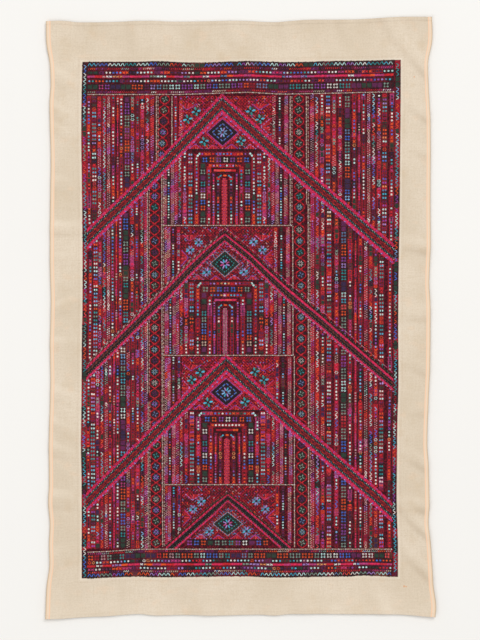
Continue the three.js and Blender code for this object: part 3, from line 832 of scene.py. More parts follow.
# Columns of the side fields: kind, width, and the middle above the first chevron, below it, and below the
# second
LEFT_FIELD = table(
    "kind width top mid low",
    ("dots", 4.6, -198.6, -197.6, -199.0), ("pairs", 6.0, -191.7, -190.4, -193.2),
    ("mixed", 5.2, -184.9, -184.6, -187.3), ("zigzag", 4.6, -178.5, -178.6, -181.6),
    ("lattice", 4.2, -172.9, -173.2, -176.1), ("dots", 4.6, -166.8, -167.7, -171.0),
    ("line", 2.4, -160.9, -162.6, -165.6), ("dots", 4.2, -156.2, -157.6, -161.0),
    ("squares", 7.6, -148.6, -150.4, -154.0), ("mixed", 5.2, -141.5, -142.0, -147.2),
    ("small", 4.6, -134.8, -135.9, -140.9), ("mixed", 5.2, -128.5, None, -134.7),
    ("zigzag", 4.8, -121.7, -129.1, -128.6), ("lilac", 4.4, -115.6, -124.0, -123.6))
RIGHT_FIELD = table(
    "kind width top mid low",
    ("lilac", 5.2, 94.8, 95.4, 95.4), ("zigzag", 5.2, 101.0, 101.8, 101.8),
    ("mixed", 5.2, 107.9, 108.8, 108.8), ("pairs", 6.2, 115.8, 117.2, 117.0),
    ("mixed", 5.6, 123.8, 127.0, 126.8), ("mixed", 5.4, 131.6, None, None),
    ("squares", 7.8, 141.2, 136.4, 136.2), ("dots", 5.0, 150.3, 144.9, 144.6),
    ("line", 3.0, 156.8, 152.0, 152.0), ("dots", 4.8, 162.6, 158.4, 158.4),
    ("lattice", 4.6, 169.4, 165.6, 165.4), ("zigzag", 5.0, 175.8, 172.0, 172.0),
    ("mixed", 5.2, 182.6, 178.6, 178.6), ("pairs", 6.0, 189.4, 186.2, 186.2),
    ("dots", 4.8, 198.2, 197.4, 197.4))
FIELD_TOP, FIELD_FOOT = 292.6, -302.8
SEAM_LOOK = {"longest": 9.0, "base": 0.1, "height": 0.5, "form": "plain"}


def make_field(columns):
    for column in columns:
        for storey, above, below in (("top", None, 0), ("mid", 0, 1), ("low", 1, None)):
            x = column[storey]
            if x is None:
                continue
            high = FIELD_TOP if above is None else float(middle_line(CHEVRONS[above], x))
            low = FIELD_FOOT if below is None else float(middle_line(CHEVRONS[below], x))
            ground = DARK if column["kind"] == "squares" else RED
            high += wave(x, high) if above is None else 0
            upright(column["kind"], x, low, high, column["width"], ground)
            beside = x + column["width"] / 2 + 0.5
            if high - low > 8:
                run_of_lines("soot soot maroon", [(beside, low), (beside, high)], 0.95, **SEAM_LOOK)


# The chains of lozenges beside the middle: points down the middle line of each
CHAIN_WIDTH = 12.4
# Heights of the crossings between the lozenges, by their number from the top
CHAIN_CROSSINGS = (
    (-1, 294.6), (0, 280.9), (5, 207.9), (9, 153.3), (16, 49.3), (19, 8.6), (24, -63.2), (26, -92.8),
    (32, -173.7), (40, -288.8), (41, -302.6))
LEFT_CHAIN = ((-98.9, 287.0), (-103.8, 204), (-112.4, 198), (-112.4, -114), (-110.8, -167), (-110.2, -302))
RIGHT_CHAIN = ((77.0, 287.0), (78.2, 160), (78.0, 116), (80.2, 55), (80.2, 20), (81.2, -225), (82.1, -302))
CHAIN_FLOWERS = (
    "sage moss", "sage slate", "sage ash", "slate navy", "slate violet", "moss sage", "moss teal",
    "slate sage", "navy plum", "bark sage")


PETAL_MIDDLE, PETAL_LENGTH = 0.62, 0.74  # shares of a flower's reach


def flower(x, y, reach, colours, petals=8, lean=22.5, centre="soot", plump=2.3):
    """A star flower of radiating stitches, in the colours in turn."""
    colours = colours.split()
    for k in range(petals):
        angle = 360 / petals * k + lean
        r = math.radians(angle)
        out = reach * PETAL_MIDDLE
        stitch(colours[k % len(colours)], x + out * math.cos(r), y + out * math.sin(r), reach * PETAL_LENGTH,
               reach * plump / petals, angle, 0.3, 0.55)
    stitch(centre, x, y, reach * 0.36, reach * 0.36, 0, 0.3, 0.55)


def make_chain(points):
    xs, ys = np.array(points, float).T
    numbers, heights = np.array(CHAIN_CROSSINGS).T
    for number in range(-1, int(numbers[-1])):
        head, foot = np.interp([number, number + 1], numbers, heights)
        y, across, along = (head + foot) / 2, CHAIN_WIDTH / 2, (head - foot) / 2
        x = float(np.interp(-y, -ys, xs))
        for k in range(-4, 5):
            stitch("soot", x, y + k * 1.5, (across - abs(k) * 0.75) * 2, 1.65, 0, 0.05, 0.3, "plain")
        for side in (-1, 1):
            knee = x + side * across
            bend = along * 0.36
            corners = [(x, y + along), (knee, y + bend), (knee, y - bend), (x, y - along)]
            run_of_lines("crimson red", corners, 1.45, base=0.2, height=0.7)
            stitch("soot", x + side * across * 0.84, y + along, across * 0.5, 2.6, 0, 0.05, 0.45)
        colour = chance.choice(CHAIN_FLOWERS)
        flower(x, y, 4.0, colour, 8, 22.5)


CORDS = table(
    "rows points",
    (2, ((-108.9, 292), (-108.9, 190))), (1, ((-89.6, 292), (-89.6, 214))),
    (2, ((-120.6, 196), (-120.6, -100))), (2, ((-119.8, -110), (-119.6, -302))),
    (2, ((-101.8, 190), (-101.8, 20))), (2, ((-101.6, 20), (-100.6, -302))),
    (2, ((67.2, 292), (67.2, 122))), (1, ((69.4, 121), (69.8, -49))), (1, ((71.4, -50), (71.8, -302))),
    (2, ((88.4, 292), (88.8, 150))), (2, ((90.8, 150), (91.4, -302))))

# The storeys of the middle: the cord above, the pole's and the peak's middle, how far the columns spread to
# each side, the inner cords, the cord below, and the squares over the gate in turn
STOREYS = table(
    "top gate pole peak left right inner_left inner_right foot squares outer inner bar pole_threads sides",
    (294.1, 292.3, -20.4, -23.4, 1.02, 0.96, -89.6, 66.4, 121.8,
        "blue orange violet white violet orange blue",
        "violet orange orange red blue blue cyan blue blue red orange orange violet plum",
        "orange lavender amber blue plum mint rose lavender orange red", "salmon orange salmon red",
        "salmon rose", "moss sage plum teal violet white blue orange moss sage"),
    (121.8, 121.8, -19.6, -20.0, 1.0, 1.0, -101.6, 68.6, -49.2,
        "sage orange blue violet blue orange sage",
        "plum plum violet lavender red amber mint amber red lavender violet plum plum moss",
        "teal blue blue amber white orange cyan cyan blue teal", "rose pink salmon pink", "rose ash",
        "plum moss maroon teal sage slate blue orange flax plum"),
    (-49.2, -49.2, -17.4, -18.2, 1.04, 1.0, -101.2, 70.8, -219.3,
        "blue orange violet white violet orange blue",
        "teal red orange blue teal white blue teal orange red moss teal orange sky",
        "orange white white white white white white white white orange", "crimson red crimson orange",
        "salmon rose", "moss white plum teal violet white blue orange moss sage"),
    (-219.3, -219.3, -16.3, -16.4, 1.04, 1.0, -100.8, 70.8, -304.2,
        "violet blue orange moss sage sage teal violet white plum blue orange", "", "", "", "", ""))
# Columns to each side of a gate: kind, width, place to the left and to the right of the pole, and the drop
# of its upper end
GATE_COLUMNS = table(
    "kind width left right drop ground",
    ("rope", 4.8, -76.9, 84.0, 0, RED), ("beads", 3.0, -72.1, 77.4, 0, DARK),
    ("rope", 4.4, -67.0, 72.0, 0, RED), ("lilac", 3.4, -62.5, 66.4, 0, RED),
    ("zigzag", 4.8, -57.7, 61.1, 0, RED), ("mixed", 5.0, -51.3, 54.6, 0, RED),
    ("pairs", 6.2, -44.0, 47.6, 73.5, RED), ("dots", 5.4, -36.0, 40.2, 77, RED),
    ("order", 7.4, -27.8, 31.7, 88.0, DARK), ("dots", 5.2, -20.2, 23.2, 93.5, RED),
    ("thin", 3.4, -14.2, 16.7, 100, RED), ("dots", 4.4, -8.3, 9.1, 106, RED))
GATE_ROWS = table(
    "row drop left right depth",
    ("outer", 76.4, -31, 36, 4.2), ("inner", 91.8, -20, 23, 4.0))
POLE_ROWS = (-2.9, -1.45, 0, 1.45, 2.9)
SQUARES_DROP, SQUARES_PITCH = 84.1, 9.1
FIRST_SQUARE, SIDE_PITCH = 4.0, 7.95
SOLID = ("moss", "plum", "maroon")
DARK_LINE_DROP, BAR_DROP, ARC_DROP, POLE_DROP = 72.8, 98.1, 105.2, 108.6
# Stitches at a gate's upper corners: how far from the pole, and how far over their drop
CORNER_DROP, CORNER_STITCHES = 78.6, ((34.6, 0), (32.4, 2.4))
GATE_EDGE = 41.0  # from the pole to the dark line beside the gate
SQUARES_SHIFT = 1.6
# The two dark arches and the bar between them: how far they reach to the left and to the right of the pole
OUTER_ARCH, BAR_REACH, INNER_ARCH = (16.4, 18.2), (13.4, 14.4), (11.0, 12.6)
ARCH_LOOK = {"base": 0.25, "height": 0.5}


def inverted_u(colours, x0, x1, y, foot, width, **more):
    run_of_lines(colours, [(x0, foot), (x0, y), (x1, y), (x1, foot)], width, **more)


def row_of_squares(colours, x, y):
    """Squares side by side, the middle one at x, on a dark ground."""
    colours = colours.split()
    reach = len(colours) / 2 * SQUARES_PITCH
    strip = Strip(y, x - reach, x + reach, 7.2, False)
    lay_ground(strip, DARK)
    for k, colour in enumerate(colours):
        start = strip.start + k * SQUARES_PITCH + 0.45
        (unit_block if colour in SOLID else unit_square)(strip, colour, start, SQUARES_PITCH - 0.9)


def column_of_squares(colours, x, high, low, width):
    """Squares one under another beside a gate, from the top down, on a dark ground."""
    strip = Strip(x, low, high, width, True)
    lay_ground(strip, DARK)
    for k, colour in enumerate(colours.split()):
        start = high - FIRST_SQUARE - k * SIDE_PITCH - SIDE_PITCH / 2
        if start > low:
            (unit_block if colour in SOLID else unit_square)(strip, colour, start + 0.3, SIDE_PITCH - 0.6)


def row_of_dots(colours, y, start, end, depth):
    """Dots side by side, with crosses for the orange and red ones."""
    colours = colours.split()
    strip = Strip(y, start, end, depth, False)
    lay_ground(strip, RED)
    pitch = (end - start) / len(colours)
    for k, colour in enumerate(colours):
        (unit_cross if colour in ("orange", "red") else unit_dots)(strip, colour, start + k * pitch, pitch)


def make_gate(k, storey):
    """Columns under the dark line and nested arches round a pole. Both sides get the same runs of colour."""
    top, pole, foot = storey["gate"], storey["pole"], storey["foot"]
    low = foot + 1.6
    for column in GATE_COLUMNS:
        same = chance.getstate()
        for side in ("left", "right"):
            chance.setstate(same)
            x = pole + column[side] * storey[side]
            high = min(top - column["drop"], float(middle_line(CHEVRONS[k], x)))
            if column["kind"] == "order":
                column_of_squares(storey["sides"], x, high, low, column["width"])
            else:
                upright(column["kind"], x, low, high, column["width"], column["ground"])
    for row in GATE_ROWS:
        row_of_dots(storey[row["row"]], top - row["drop"], pole + row["left"] * storey["left"],
                    pole + row["right"] * storey["right"], row["depth"])
    for side in (-1, 1):
        out = storey["left"] if side < 0 else storey["right"]
        for reach, rise in CORNER_STITCHES:
            x = pole + side * reach * out + 1.4 * (1 + side)
            stitch("mint", x, top - CORNER_DROP + rise, 2.8, 2.4, -45 * side, 0.3, 0.7)
        x = pole + side * GATE_EDGE * out + 0.8 * (1 + side)
        run_of_lines("soot", [(x, top - DARK_LINE_DROP), (x, low)], 1.2, base=0.1, height=0.45)
    row_of_squares(storey["squares"], pole + SQUARES_SHIFT, top - SQUARES_DROP)
    inverted_u("soot", pole - OUTER_ARCH[0], pole + OUTER_ARCH[1], top - BAR_DROP + 2.4, low, 1.2, **ARCH_LOOK)
    bar = Strip(top - BAR_DROP, pole - BAR_REACH[0], pole + BAR_REACH[1], 3.2, False)
    bar_threads = storey["bar"].split()
    s = bar.start
    while s < bar.end:
        share = (s - bar.start) / (bar.end - bar.start)
        unit_satin(bar, bar_threads[int(share * len(bar_threads))], s, 1.6)
        s += 1.6
    inverted_u("soot", pole - INNER_ARCH[0], pole + INNER_ARCH[1], top - BAR_DROP - 2.6, low, 1.2, **ARCH_LOOK)
    for side in (-1, 1):
        for out, fall, colour in ((5.6, 0.0, "cyan"), (8.0, 1.9, "sky" if side > 0 else "teal")):
            stitch(colour, pole + 0.4 + side * out, top - ARC_DROP - fall, 2.7, 1.8, -40 * side, 0.3, 0.7)
    stitch("orange", pole + 0.4, top - ARC_DROP + 0.4, 4.6, 2.3, 0, 0.3, 0.7)
    main, other = storey["pole_threads"].split()
    y, count = low, 0
    while y < top - POLE_DROP:
        for t in POLE_ROWS:
            if abs(t) > 2 and y > top - POLE_DROP - 2.5:
                continue
            odd = abs(abs(t) - 1.45) < 0.1
            colour = other if odd and (k == 1 or count % 2) else main
            if abs(t) > 2:
                colour = "crimson" if count % 3 == 0 else main
            stitch(colour, pole + t, y, 1.5, 1.15, 20 if t < 0 else -20, 0.15, 0.6)
        y += 1.5
        count += 1


# Motifs of a storey, from its peak and its upper cord: flowers, and fans by their point and the ends of
# their open side
SMALL_FLOWERS = ((-34.4, -22.3), (-45.4, -32.5), (37.8, -21.7), (49.6, -32.4), (-23.9, -61.7), (24.9, -61.2))
FANS = (
    ((-46.4, -20.3), (-55.5, -12.4), (-32.8, -12.4)), ((-47.8, -42.4), (-56.8, -32.6), (-58.3, -54.1)),
    ((48.6, -20.3), (39.3, -12.4), (62.1, -12.4)), ((51.1, -42.4), (62.1, -32.6), (62.8, -54.7)),
    ((-35.1, -65.2), (-43.2, -71.6), (-27.1, -71.6)), ((-12.4, -66.2), (-19.0, -71.6), (-4.2, -71.6)),
    ((12.4, -65.6), (4.0, -71.4), (20.2, -71.4)), ((36.4, -65.6), (29.2, -71.8), (44.5, -71.8)))
PETAL_LEAN = 19  # degrees that the two petals of a pair lean apart
FAN_EDGES = ("violet rose", "rose", "violet", "lavender rose")


def fan(point, first, last, edge):
    """Radiating stitches between two long edges that meet in a point."""
    count = 9
    for k in range(count):
        share = (k + 0.5) / count
        end = tuple(a + (b - a) * share for a, b in zip(first, last))
        for near, far in ((0.2, 0.6), (0.6, 1.0)):
            start = tuple(p + (e - p) * near for p, e in zip(point, end))
            stop = tuple(p + (e - p) * far for p, e in zip(point, end))
            line(("red", "crimson", "red", "maroon", "salmon")[k % 5], start, stop, 1.4, base=0.1, height=0.5)
    for end in (first, last):
        run_of_lines(edge, [point, end], 1.2, longest=2.2, base=0.3, height=0.6)


def lozenge(x, y, half_width, half_height, colours, width, **more):
    """An outline of stitches round a lozenge."""
    corners = [(x, y + half_height), (x + half_width, y), (x, y - half_height), (x - half_width, y),
               (x, y + half_height)]
    run_of_lines(colours, corners, width, longest=1.9, **more)


DIAMONDS = table(
    "x y half_width half_height frame ring ring_width petals centre edge halo",
    (-23.0, 244.2, 18.6, 16.2, "soot", "slate blue navy", 1.5, "slate lavender sky slate", "maroon",
        "violet rose", "pink red"),
    (-19.9, 71.4, 17.2, 15.4, "moss soot", "teal moss", 1.3, "rose lavender cyan lavender", "soot",
        "ash slate", "crimson maroon"),
    (-18.2, -97.6, 18.8, 16.4, "soot", "slate blue navy", 1.5, "sky cyan lavender slate", "maroon",
        "violet rose", "pink red"),
    (-16.2, -270.8, 17.4, 14.0, "moss soot", "teal moss", 1.3, "rose lavender cyan lavender", "soot",
        "ash slate", "crimson maroon"))


def diamond(d):
    """Nested lozenges round a flower."""
    x, y, w, h = d["x"], d["y"], d["half_width"], d["half_height"]
    lozenge(x, y, w * 1.26, h * 1.26, d["halo"], 1.5, base=0.1, height=0.45)
    lozenge(x, y, w * 1.12, h * 1.12, d["edge"], 1.3, base=0.2, height=0.5)
    for share in (0.98, 0.86):
        lozenge(x, y, w * share, h * share, d["frame"], 2.1, base=0.25, height=0.5)
    lozenge(x, y, w * 0.72, h * 0.72, d["ring"], d["ring_width"], base=0.3, height=0.6)
    for share in (0.6, 0.5, 0.38, 0.24, 0.1):
        lozenge(x, y, w * share, h * share, "soot", 2.0, base=0.15, height=0.35)
    flower(x, y, 6.8, d["petals"], 8, 22.5, d["centre"], 2.3)


# Chance of each colour where a ground is covered with small crossing stitches
SPECKLES = (
    ("crimson", 12), ("maroon", 3), ("red", 4.4), ("rose", 1), ("pink", 0.8), ("violet", 0.5),
    ("orange", 0.8), ("ash", 0.5), ("bark", 1.6), ("plum", 0.8), ("slate", 0.3))
STAR_SPECKLES = (
    ("crimson", 10), ("maroon", 7), ("red", 2), ("rose", 0.7), ("violet", 0.4), ("orange", 0.3),
    ("ash", 0.6), ("bark", 2.4), ("plum", 1.6), ("slate", 0.8))
SPECKLE_PITCH = 2.05


def speckle(x_from, x_to, y_from, y_to, keep, colours):
    """Small slanting stitches over an area."""
    for j in range(int((y_to - y_from) / SPECKLE_PITCH)):
        y = y_from + (j + 0.5) * SPECKLE_PITCH
        for i in range(int((x_to - x_from) / SPECKLE_PITCH)):
            x = x_from + (i + 0.5) * SPECKLE_PITCH
            if keep(x, y):
                stitch(pick(colours)[0], x, y, 2.5, 1.5, 45 if (i + j) % 2 else -45, 0.0, 0.4, "long")


def in_diamond(x, y, d):
    return abs(x - d["x"]) / (d["half_width"] * 1.1) + abs(y - d["y"]) / (d["half_height"] * 1.1) < 1


def make_storey(k, storey):
    """The part of a storey above its dark line, and its gate below."""
    top, peak, pole, foot = storey["top"], storey["peak"], storey["pole"], storey["foot"]
    d, chevron = DIAMONDS[k], CHEVRONS[k]
    line_y = top - DARK_LINE_DROP
    left, right = storey["inner_left"], storey["inner_right"]
    has_rope = k > 0
    sides = [("rope", right - 5.6, 4.8, RED), ("beads", right - 14.2, 3.8, DARK),
             ("mixed", right - 21.8, 4.4, RED)]
    if has_rope:
        sides += [("lilac", left + 4.0, 2.6, RED), ("rope", left + 7.8, 4.2, RED),
                  ("beads", left + 13.6, 3.6, DARK), ("mixed", left + 20.8, 4.4, RED)]
    else:
        sides += [("beads", left + 4.8, 3.8, RED), ("mixed", left + 11.8, 4.2, RED)]
    for kind, x, width, ground in sides:
        upright(kind, x, float(middle_line(chevron, x)), top - 1.8, width, ground)
    inner = (left + (24.0 if has_rope else 15.0), right - 24.8)

    star = chevron["kind"] != "heavy"

    def open_ground(x, y):
        under = y < middle_line(chevron, x)
        return (under or inner[0] < x < inner[1]) and not in_diamond(x, y, d)

    speckle(left + 2, right - 2, line_y + 1, top - 1.5, open_ground, STAR_SPECKLES if star else SPECKLES)
    if star:
        for fall in (15.5, 20.5, 25.5, 30.5):
            for side in (-1, 1):
                for step in range(30):
                    x = peak + side * 1.5 * step
                    y = float(middle_line(chevron, x)) - fall
                    if y > line_y + 1 and not in_diamond(x, y, d):
                        end = (x + side * 1.5, y + (1.5 if step % 2 else -1.8))
                        line("bark" if step % 6 > 3 else "slate", (x, y), end, 0.7)
    for x, y in SMALL_FLOWERS:
        for t in (-1, 1):
            ends = [(peak + x - 7 * t, top + y - 7), (peak + x + 7 * t, top + y + 7)]
            run_of_lines("bark", ends, 0.9, height=0.35)
        if star:
            stitch("soot", peak + x, top + y, 8.0, 8.0, 45, 0.1, 0.35)
            for turn, colours in ((PETAL_LEAN, "cyan slate"), (-PETAL_LEAN, "slate lavender")):
                flower(peak + x, top + y, 5.9, colours, 4, turn, "soot", 1.35)
        else:
            stitch("soot", peak + x, top + y, 6.0, 6.0, 45, 0.1, 0.35)
            flower(peak + x, top + y, 6.4, "cyan moss teal soot cyan moss teal soot", 8, 12, "soot", 3.0)
    for number, (point, first, last) in enumerate(FANS):
        shifted = [(peak + px, top + py) for px, py in (point, first, last)]
        fan(*shifted, FAN_EDGES[(number + k) % len(FAN_EDGES)])
    diamond(d)
    if foot > LOWER_CORD:
        make_gate(k, storey)
    else:
        row_of_squares(storey["squares"], pole, top - 76.6)
    ends = [(pole - 49 * storey["left"], line_y), (pole + 51 * storey["right"], line_y)]
    run_of_lines("soot", ends, 1.5, height=0.55)


# Rows of the chevrons from their upper edge down: place above the middle line, depth, pitch, and the colours
# in turn. A row is laid across its arm, along it, or as small dots. After a bar come the colours of the right
# arm, and after a second bar those of the small chevron.
HEAVY_ROWS = table(
    "at depth pitch lie colours",
    (12.4, 1.5, 1.5, "across", "crimson pink pink rose"),
    (10.9, 1.8, 1.6, "across", "pink pink pink violet pink"),
    (9.1, 1.8, 1.5, "across", "pink pink crimson"), (7.5, 1.6, 2.4, "along", "soot"),
    (6.2, 1.6, 2.4, "along", "soot"), (6.9, 1.0, 2.1, "dots", "mint sage slate white"),
    (4.9, 1.6, 2.4, "along", "soot"), (5.2, 0.9, 2.1, "dots", "slate sage"),
    (3.4, 0.7, 2.4, "along", "bark orange bark"), (2.5, 1.3, 2.4, "along", "crimson maroon"),
    (1.3, 1.4, 2.4, "along", "maroon crimson"), (0.1, 1.4, 2.4, "along", "maroon soot maroon"),
    (-1.1, 1.4, 2.4, "along", "maroon crimson"), (-2.2, 1.3, 2.4, "along", "crimson maroon"),
    (-3.2, 0.7, 2.4, "along", "orange bark bark"), (-4.4, 1.5, 2.4, "along", "soot"),
    (-5.6, 1.6, 2.4, "along", "soot"), (-5.1, 0.9, 2.1, "dots", "sage slate"),
    (-7.0, 1.6, 2.4, "along", "soot"), (-6.7, 1.0, 2.1, "dots", "mint slate teal sage"),
    (-8.5, 1.4, 1.5, "across", "crimson pink"), (-10.0, 1.8, 1.5, "across", "pink"),
    (-11.6, 1.8, 1.6, "across", "pink rose pink violet"),
    (-13.2, 1.6, 1.5, "across", "pink pink lavender rose"))
LIGHT_ROWS = table(
    "at depth pitch lie colours",
    (16.8, 1.4, 2.4, "along", "|crimson ash rose|"),
    (12.6, 1.5, 2.4, "along", "bark maroon ash|soot|maroon bark"),
    (11.0, 1.5, 2.4, "along", "bark soot ash|soot|soot moss"),
    (11.8, 0.9, 2.1, "dots", "ash bark sage"),
    (9.8, 1.1, 2.4, "along", "maroon ash bark|soot bark|soot bark"),
    (6.7, 3.8, 1.5, "across", "pink pink crimson|pink|pink pink crimson"),
    (4.0, 1.2, 2.4, "along", "plum maroon"), (4.1, 0.9, 2.1, "dots", "lavender ash rose"),
    (2.8, 1.5, 2.4, "along", "soot"), (1.6, 1.4, 2.4, "along", "soot bark|soot bark|soot"),
    (0.4, 1.2, 2.4, "along", "bark|bark|moss soot"),
    (-0.8, 1.5, 2.4, "along", "soot bark|soot bark|moss soot"), (-2.1, 1.5, 2.4, "along", "soot"),
    (-3.5, 1.5, 2.4, "along", "soot"), (-4.9, 1.5, 2.4, "along", "soot maroon"),
    (-4.6, 0.9, 2.1, "dots", "sage ash"), (-6.1, 0.9, 2.4, "along", "maroon crimson"),
    (-8.5, 3.9, 1.5, "across", "pink pink rose"),
    (-11.1, 1.2, 1.6, "across", "lavender ash maroon|lavender ash maroon|maroon bark"))
UPPER_PINK = 8.6  # upper edge of the light chevrons' upper pink band
ARM_CHANGE = 10  # how far before the peak the right arm's colours begin


def from_middle(at, scale):
    """A row's height over the middle line. Above the upper pink band rows draw together less at the peak."""
    inner = min(at, UPPER_PINK)
    return inner * scale + (at - inner) * max(scale, 0.95)


def make_chevron(chevron):
    """Rows of small stitches that follow both arms, and a dark line at the peak."""
    px = [p[0] for p in chevron["points"]]
    peak = max(chevron["points"], key=lambda point: point[1])
    for row in HEAVY_ROWS if chevron["kind"] == "heavy" else LIGHT_ROWS:
        arms, pitch = [arm.split() for arm in row["colours"].split("|")], row["pitch"]
        x = max(px[0], CHEVRON_ENDS[0])
        count = 0
        while x < min(px[-1], CHEVRON_ENDS[1]):
            scale = float(spread(chevron, x))
            depth = row["depth"] * scale
            rises = from_middle if chevron["kind"] == "light" else lambda at, part: at * part
            y = float(middle_line(chevron, x)) + rises(row["at"], scale)
            ahead = min(x + 1, px[-1] - 0.1)
            next_y = float(middle_line(chevron, ahead)) + rises(row["at"], float(spread(chevron, ahead)))
            rise = (next_y - y) / (ahead - x + 1e-6)
            side = 2 if chevron["kind"] == "small" else int(x > peak[0] - ARM_CHANGE)
            arm = arms[min(side, len(arms) - 1)]
            if arm and LOWER_CORD + 1 < y < UPPER_CORD + 2:
                colour = arm[count % len(arm)]
                if row["lie"] == "across":
                    turn = 90 - math.copysign(14, rise)
                    stitch(colour, x, y, depth * 1.16, pitch * 1.12, turn, 0.2, 0.6, "long", True)
                elif row["lie"] == "along":
                    heading = math.degrees(math.atan(rise))
                    length = pitch * 1.1 * math.hypot(1, rise)
                    stitch(colour, x, y, length, depth * 0.82, heading, 0.2, 0.5, "long", True)
                else:
                    size = max(0.7, depth)
                    stitch(colour, x, y, size, size, 0, 0.5, 0.45, "mound", True)
            x += pitch
            count += 1
    scale = float(spread(chevron, peak[0]))
    low, high = CHEVRON_REACH[chevron["kind"]]
    y = peak[1] + low * 0.5 * scale
    while y < peak[1] + high * scale:
        stitch("soot", peak[0], y, 2.4, 1.0, 90, 0.3, 0.7, "long", True)
        y += 2.4


# How unevenly the stitches are made: their size, their turn in radians and their place in millimetres
SIZE_SWAY, TURN_SWAY, PLACE_SWAY = 0.06, 0.05, 0.09


def silk_pieces():
    """One joined mesh of stitches for each thread colour, laid on the panel."""
    pieces = []
    sway = np.random.default_rng(11)
    for name, rows in stitches.items():
        data = np.array(rows, float)
        x, y, over = data[:, 0], data[:, 1], data[:, 8] > 0.5
        hidden = np.zeros(len(data), bool)
        for chevron in CHEVRONS:
            low, high = CHEVRON_REACH[chevron["kind"]]
            at = (y - middle_line(chevron, x)) / spread(chevron, x)
            first_x, last_x = chevron["points"][0][0], chevron["points"][-1][0]
            within = (x > max(first_x, CHEVRON_ENDS[0])) & (x < min(last_x, CHEVRON_ENDS[1]))
            hidden |= (at > low) & (at < high) & within & (y > LOWER_CORD) & (y < UPPER_CORD + 2)
        inside = (x > LEFT + 1) & (x < RIGHT - 1) & (y > BOTTOM + 1) & (y < TOP - 1)
        data = data[inside & (over | ~hidden)]
        points, corners, thread = [], [], []
        first = 0
        for number, form_name in enumerate(FORM_NAMES):
            part = data[data[:, 7] == number]
            if not len(part):
                continue
            form = np.array(FORMS[form_name]["points"], float)
            faces = np.array(FORMS[form_name]["faces"], int)
            size = 1 + sway.normal(0, SIZE_SWAY, (len(part), 3))
            u = form[None, :, 0] * part[:, 2:3] * size[:, :1]
            v = form[None, :, 1] * part[:, 3:4] * size[:, 1:2]
            turn = part[:, 4:5] + sway.normal(0, TURN_SWAY, (len(part), 1))
            px = (part[:, 0:1] + sway.normal(0, PLACE_SWAY, (len(part), 1))
                  + u * np.cos(turn) - v * np.sin(turn))
            py = (part[:, 1:2] + sway.normal(0, PLACE_SWAY, (len(part), 1))
                  + u * np.sin(turn) + v * np.cos(turn))
            above = part[:, 5:6] - ROOT + form[None, :, 2] * part[:, 6:7] * size[:, 2:3]
            points.append(np.stack([px, py, above], axis=2).reshape(-1, 3))
            corners.append((faces[None] + first + np.arange(len(part))[:, None, None] * len(form)).ravel())
            thread.append(np.stack([u, v], axis=2).reshape(-1, 2))
            first += len(part) * len(form)
        points, corners = np.concatenate(points), np.concatenate(corners)
        laid = settle(points[:, 0], points[:, 1], points[:, 2] + PANEL_FACE)
        piece = new_mesh("silk_" + name, laid, corners, np.full(len(corners) // 3, 3),
                         {"Thread": np.concatenate(thread), "OFBake": bake_map(laid)})
        piece.data.materials.append(silk(name, SILK[name]))
        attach(piece, "root")
        pieces.append(piece)
    return pieces


def grid_sheet(name, xs, ys, seat, thickness, raise_at):
    """A closed sheet over pattern columns and rows. raise_at gives what is added on the upper face."""
    gx, gy = np.meshgrid(xs, ys)
    x, y = gx.ravel(), gy.ravel()
    under = settle(x, y, np.full(len(x), seat))
    upper = under.copy()
    upper[:, 2] += thickness + raise_at(x, y)
    across, down = len(xs), len(ys)
    i, j = np.meshgrid(np.arange(across - 1), np.arange(down - 1))
    a = (j * across + i).ravel()
    n = across * down
    bottom = np.stack([a, a + across, a + across + 1, a + 1], axis=1)
    top = np.stack([a + n, a + 1 + n, a + across + 1 + n, a + across + n], axis=1)
    ring = np.concatenate([np.arange(across), np.arange(1, down) * across + across - 1,
                           (down - 1) * across + np.arange(across - 2, -1, -1),
                           np.arange(down - 2, 0, -1) * across])
    after = np.roll(ring, -1)
    side = np.stack([ring, after, after + n, ring + n], axis=1)
    faces = np.concatenate([bottom, top, side])
    points = np.concatenate([under, upper])
    grain = np.concatenate([np.stack([x, y], axis=1)] * 2) * MM
    # The cloth's lean towards the light, kept in a UV map for the cotton's painted fold shade and light
    shade = fold_shade(x, y)
    painted_fold_shade = np.concatenate([np.stack([shade, shade], axis=1)] * 2)
    return new_mesh(name, points, faces.ravel(), np.full(len(faces), 4),
                    {"Grain": grain, "FoldShade": painted_fold_shade, "OFBake": bake_map(points)})


WOVEN_COLUMNS, WOVEN_ROWS = 140, 220


def make_cream_cloth():
    half_width, half_length = CLOTH_WIDTH / 2, CLOTH_LENGTH / 2
    hem = half_length - HEM_DEPTH
    xs = np.concatenate([[-half_width, -half_width + 0.5],
                         np.linspace(-half_width + 1.5, half_width - 1.5, WOVEN_COLUMNS),
                         [half_width - 0.5, half_width]])
    ys = np.concatenate([[-half_length, -half_length + 0.6, -hem - 0.4, -hem, -hem + HEM_DROP],
                         np.linspace(-hem + 2, hem - 2, WOVEN_ROWS),
                         [hem - HEM_DROP, hem, hem + 0.4, half_length - 0.6, half_length]])
    soft = 0.35

    def raise_at(x, y):
        folded = np.where(np.abs(y) > hem - HEM_DROP / 2, HEM_EXTRA, 0.0)
        rim = np.where((np.abs(y) > half_length - 0.3) | (np.abs(x) > half_width - 0.3), -soft, 0.0)
        crumple = 0.12 * np.sin(x / 7.1 + np.sin(y / 11.0) * 2.1) * np.sin(y / 8.3 + np.cos(x / 13.0) * 1.7)
        return folded + rim + crumple

    piece = grid_sheet("cream_cloth_woven", xs, ys, 0.0, CLOTH_THICKNESS, raise_at)
    piece.data.materials.append(cotton())
    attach(piece, "root")
    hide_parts("cream_cloth")
    return piece


